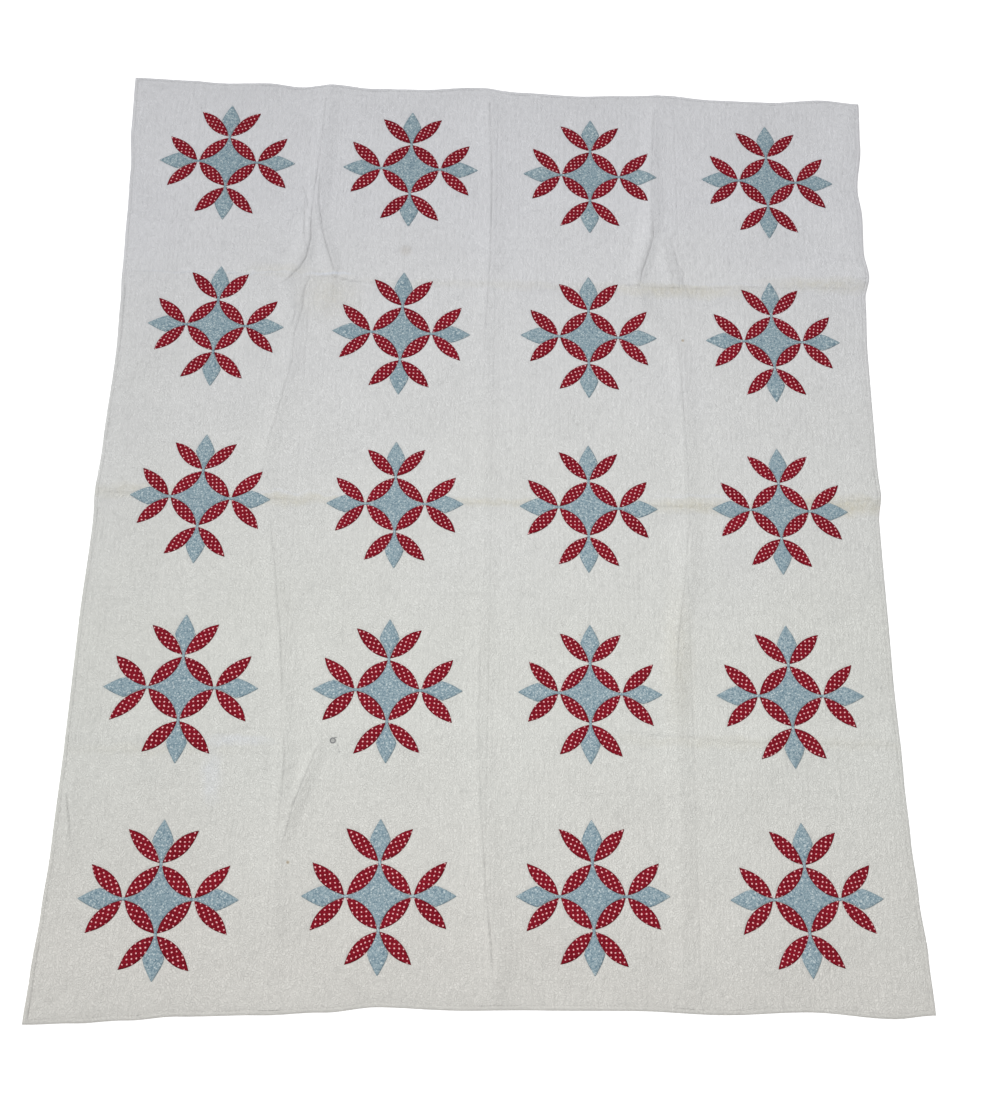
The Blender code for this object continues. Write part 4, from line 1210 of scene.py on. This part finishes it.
def pull_to_sides(east, north):
    """Return how far the cloth near each side is pulled to follow its waves."""
    left = soft_step(1.0 - (east - LEFT_REST) / PULL_REACH)
    right = soft_step(1.0 - (RIGHT_REST - east) / PULL_REACH)
    head = soft_step(1.0 - (HEAD_REST - north) / PULL_REACH)
    foot = soft_step(1.0 - (north - FOOT_REST) / PULL_REACH)
    shift_x = left * (edge_reach(LEFT_EDGE, north) + FACE_INSET - LEFT_REST)
    shift_x += right * (edge_reach(RIGHT_EDGE, north) - FACE_INSET - RIGHT_REST)
    shift_y = head * (edge_reach(HEAD_EDGE, east) - FACE_INSET - HEAD_REST)
    shift_y += foot * (edge_reach(FOOT_EDGE, east) + FACE_INSET - FOOT_REST)
    return shift_x, shift_y


def face_height(east, north, x, y):
    """Return the height of the quilted face, and the painted shade at each place."""
    relief, stitched = quilted_relief(east, north)
    dip, shade_and_grime = creases_at(x, y)
    past_flower = np.maximum(flower_distance(x, y), 0.0)
    ditch = 1.0 - DITCH_SHARE * np.exp(-(past_flower / DITCH_HALF_WIDTH) ** 2)
    seam_x = from_line(east - SETTING_X, BLOCK)
    seam_y = from_line(north - SETTING_Y + BLOCK / 2, BLOCK)
    seam = np.exp(-(np.minimum(seam_x, seam_y) / BLOCK_SEAM_HALF_WIDTH) ** 2)
    from_rim = np.minimum(
        np.minimum(east - LEFT_REST, RIGHT_REST - east), np.minimum(HEAD_REST - north, north - FOOT_REST)
    )
    tuck = TUCK_DEPTH * np.exp(-(from_rim / TUCK_REACH))
    height = resting_height(x, y) + dip + relief * ditch - BLOCK_SEAM_DEPTH * seam - tuck
    # Painted shade: darker along stitched lines, block seams, the ditch round each flower, and the creases.
    shades = (
        STITCH_SHADE * stitched, SEAM_SHADE * seam,
        DITCH_SHADE * np.exp(-(past_flower / DITCH_SHADE_WIDTH) ** 2), shade_and_grime,
    )
    return height, np.max(shades, axis=0)


def lay_grid(name, first, last, columns, rows, lift, cloth, turned_over=False):
    """Build a sheet as an even grid, pulled to the wavy sides and lifted by a height function."""
    east, north = np.meshgrid(np.linspace(first, last, columns), np.linspace(FOOT_REST, HEAD_REST, rows))
    shift_x, shift_y = pull_to_sides(east, north)
    x, y = east + shift_x, north + shift_y
    z, valley = lift(east, north, x, y)
    points = np.stack([x, y, z], axis=-1).reshape(-1, 3)
    cloth_xy = np.stack([east, north], axis=-1).reshape(-1, 2)
    faces = grid_faces(rows, columns)[:, ::-1] if turned_over else grid_faces(rows, columns)
    mesh = cloth_mesh(name, points, faces, cloth_xy, valley)
    return add_piece(name, mesh, cloth, "quilt_body")


face_rows = round((HEAD_REST - FOOT_REST) / ALONG_STEP) + 1
seams = [LEFT_REST] + [SETTING_X + BLOCK * (part - 1) for part in range(3)] + [RIGHT_REST]
for number, (first, last) in enumerate(zip(seams, seams[1:]), start=1):
    across_count = round((last - first) / ACROSS_STEP) + 1
    lay_grid(f"quilt_column_{number}", first, last, across_count, face_rows, face_height, MUSLIN)

# %% [markdown]
# ## The back
# The back is one plain cloth on the floor, lifted only below the folds. It faces down, and its rim is
# tucked into the binding. It could be left out of the picture, but a quilt that is turned over has one.

# %% Lay the back
BACK_LIFT = 0.0002
BACK_GAP = 0.0008
BACK_COLUMNS = 120
BACK_ROWS = 150


def hollow_height(x, y):
    """Return the height of the hollows under the folds."""
    return np.maximum(ridge_height(x, y) - BACK_GAP, 0.0)


def back_height(east, north, x, y):
    """Return the height of the back, which has no valleys."""
    return hollow_height(x, y) + BACK_LIFT, None


back = lay_grid(
    "quilt_back", LEFT_REST, RIGHT_REST, BACK_COLUMNS, BACK_ROWS, back_height, BACKING, turned_over=True
)
print("back polygons", len(back.data.polygons))

# %% [markdown]
# ## Sewing on the flowers
# The blue star goes down first and the leaves over its edges. A patch is sewn with its rim turned under,
# so it rises steeply from the ditch, rounds over the fold of cloth, and puffs a little in its middle.
# Solid slabs would do from far away, but their edges would look cut from card.

# %% Patch height and sewing
RIM_SINK = 0.0003
FOLD_RISE = 0.0005
BODY_RISE = 0.0011
BODY_REACH = 0.0012
PUFF_RISE = 0.0006
PUFF_REACH = 0.010
RIM_SHADE = 0.0011
STAR_SINK = 0.0003
SEWN_EDGE = 0.0001
PETAL_FREE_FROM = 0.100
PETAL_FREE_OVER = 0.014
PRINT_RANGE = (0.0, 3.0)
PRINT_SKEW = 0.4
ACROSS_LEAF = np.array((-1.0, -0.985, -0.94, -0.82, -0.55, -0.25, 0.0, 0.25, 0.55, 0.82, 0.94, 0.985, 1.0))
ALONG_LEAF = (1.0 - np.cos(np.linspace(0.0, math.pi, 16))) / 2
STAR_RINGS = np.array((0.02, 0.25, 0.5, 0.72, 0.88, 0.96, 0.985, 1.0))
STAR_ANGLES = np.linspace(0.0, 2 * math.pi, 65)[:-1]


def patch_rise(from_edge):
    """Return how high a patch stands, measured in from its sewn edge."""
    rise = FOLD_RISE + BODY_RISE * (1.0 - np.exp(-from_edge / BODY_REACH))
    rise += PUFF_RISE * soft_step(from_edge / PUFF_REACH)
    return np.where(from_edge < SEWN_EDGE, -RIM_SINK, rise)


def sew_down(flower, places, rise, from_edge):
    """Lay a patch's places on the quilt, and return its points and how shaded its rim is."""
    plan = flower["size"] * (places @ flower["spin"].T) + flower["middle"]
    z = resting_height(plan[:, 0], plan[:, 1]) + rise
    return np.column_stack([plan, z]), np.exp(-from_edge / RIM_SHADE)


def leaf_grid(flower, leaf):
    """Build one leaf as a grid along its spine."""
    base, tip, plump, lean = leaf
    left, right = leaf_half_widths(ALONG_LEAF, plump, lean)
    along = np.repeat(ALONG_LEAF, len(ACROSS_LEAF))
    share = np.tile(ACROSS_LEAF, len(ALONG_LEAF))
    half = np.where(share > 0, np.repeat(left, len(ACROSS_LEAF)), np.repeat(right, len(ACROSS_LEAF)))
    local = place_leaf(base, tip, along, share * half)
    length = math.hypot(*(tip - base))
    from_end = np.minimum(along, 1.0 - along) * length
    from_edge = np.minimum((1.0 - np.abs(share)) * half, from_end)
    points, shade = sew_down(flower, local, patch_rise(from_edge), from_edge)
    start = draw.uniform(*PRINT_RANGE, 2)
    spin = spin_by(draw.uniform(-PRINT_SKEW, PRINT_SKEW))
    cloth_xy = np.stack([along * length, share * half], axis=1) @ spin.T + start
    return points, grid_faces(len(ALONG_LEAF), len(ACROSS_LEAF)), cloth_xy, shade


def petal_grid(flower, quarter):
    """Build one petal, from its neck under the leaves to its free tip."""
    radius = np.repeat(PETAL_START + ALONG_LEAF * (PETAL_TIP - PETAL_START), len(ACROSS_LEAF))
    share = np.tile(ACROSS_LEAF, len(ALONG_LEAF))
    half = petal_half_width(radius)
    own = np.stack([radius, share * half], axis=1)
    from_edge = np.minimum((1.0 - np.abs(share)) * half, PETAL_TIP - radius)
    free = soft_step((radius - PETAL_FREE_FROM) / PETAL_FREE_OVER)
    rise = patch_rise(from_edge)
    rise = np.where(from_edge < SEWN_EDGE, rise, rise - STAR_SINK * (1.0 - free))
    points, shade = sew_down(flower, own @ spin_by(math.pi / 2 * quarter).T, rise, from_edge)
    return points, grid_faces(len(ALONG_LEAF), len(ACROSS_LEAF)), own, shade


def star_grid(flower):
    """Build the middle of the star as rings, reaching a little way under the inner leaves."""
    in_quarter = np.abs((STAR_ANGLES + math.pi / 4) % (math.pi / 2) - math.pi / 4)
    along = np.linspace(0.0, 0.5, 40)
    step, arch = along * JUNCTION_RADIUS * math.sqrt(2), leaf_arch(along)
    seam_x, seam_y = JUNCTION_RADIUS - (step + arch) / math.sqrt(2), (step - arch) / math.sqrt(2)
    rim = np.interp(in_quarter, np.arctan2(seam_y, seam_x), np.hypot(seam_x, seam_y)) + UNDERLAP
    radius = np.outer(STAR_RINGS, rim)
    own = np.stack([radius * np.cos(STAR_ANGLES), radius * np.sin(STAR_ANGLES)], axis=-1).reshape(-1, 2)
    from_edge = np.outer(1.0 - STAR_RINGS, rim).ravel()
    points, shade = sew_down(flower, own, patch_rise(from_edge) - STAR_SINK, from_edge)
    return points, grid_faces(len(STAR_RINGS), len(STAR_ANGLES), closed=True), own, shade


def sew_on(name, grids, cloth, node, print_start=0.0):
    """Join the grids of one patch and sew it on."""
    points, faces, cloth_xy, valley = join_grids(grids)
    mesh = cloth_mesh(name, points, faces, cloth_xy + print_start, valley)
    add_piece(name, mesh, cloth, node)


for flower in flowers:
    label, print_start = flower["label"], draw.uniform(*PRINT_RANGE, 2)
    grids = [star_grid(flower)] + [petal_grid(flower, quarter) for quarter in range(4)]
    sew_on("blue_star_" + label, grids, BLUE_CALICO, "star_" + label, print_start)
    grids = [leaf_grid(flower, leaf) for leaf in flower["leaves"]]
    sew_on("red_leaves_" + label, grids, RED_CALICO, "leaves_" + label)

# %% [markdown]
# ## Binding the edges
# A narrow strip of the same cotton wraps over each side and is stitched down on the face. Its strips meet
# in mitres at the corners. A round tube would be easier, but a binding is a flat fold with a soft outer
# edge, slightly puckered where the stitches pull.

# %% Bind the edges
BINDING_RISE = 0.0046
BINDING_STEP = 0.0033
BINDING_FOLD = 0.0110
BINDING_CUT = 0.030
WHIP_FROM = 0.0040
WHIP_DEPTH = 0.0004
WHIP_SHADE = 0.30
PUCKERS = ((0.00035, 0.010, 11), (0.00025, 0.026, 12))
SIDE_COLUMNS = ("edge", "inward", "upright")
SIDES = {
    "left": (LEFT_EDGE, 1.0, True), "right": (RIGHT_EDGE, -1.0, True),
    "head": (HEAD_EDGE, -1.0, False), "foot": (FOOT_EDGE, 1.0, False),
}
SECTION_COLUMNS = ("depth", "height_share")
SECTION = (
    (0.0110, 0.02), (0.0020, 0.00), (0.0006, 0.10), (0.0000, 0.36), (0.0006, 0.66), (0.0020, 0.90),
    (0.0042, 1.00), (0.0068, 1.00), (0.0090, 0.92), (0.0104, 0.80), (0.0110, 0.62),
)


def bind_side(name):
    """Sweep the folded strip along one side."""
    table, inward, upright = SIDES[name]
    first, last = table[0][0], table[-1][0]
    steps = round((last - first) / BINDING_STEP)
    part = np.linspace(0.0, 1.0, steps + 1)
    wrapped = np.linspace(BINDING_FOLD - BINDING_CUT, BINDING_FOLD, len(SECTION))
    sewn = np.arange(steps + 1) % 2
    rings, own, valley = [], [], []
    for (depth, share), flat_depth in zip(SECTION, wrapped):
        along = first + depth + part * (last - first - 2 * depth)
        edge = edge_reach(table, along)
        reach, flat = edge + inward * depth, edge + inward * flat_depth
        x, y = (reach, along) if upright else (along, reach)
        whipped = sewn * (share < 1.0) * (flat_depth > WHIP_FROM)
        thickness = share * (BINDING_RISE + layered_noise(PUCKERS, x, y))
        rings.append(np.stack([x, y, hollow_height(x, y) + thickness - WHIP_DEPTH * whipped], axis=-1))
        own.append(np.stack([flat, along] if upright else [along, flat], axis=-1))
        valley.append(WHIP_SHADE * whipped)
    points, cloth_xy = np.stack(rings), np.stack(own)
    faces = grid_faces(len(SECTION), steps + 1)
    if upright != (inward > 0):
        faces = faces[:, ::-1]
    mesh = cloth_mesh(
        "bound_" + name, points.reshape(-1, 3), faces, cloth_xy.reshape(-1, 2), np.concatenate(valley)
    )
    add_piece("bound_" + name, mesh, BINDING_CLOTH, "binding_" + name)


BINDING_CLOTH = make_muslin("binding_muslin", aged=True)
for side in SIDES:
    bind_side(side)
print("binding strips", len(SIDES))
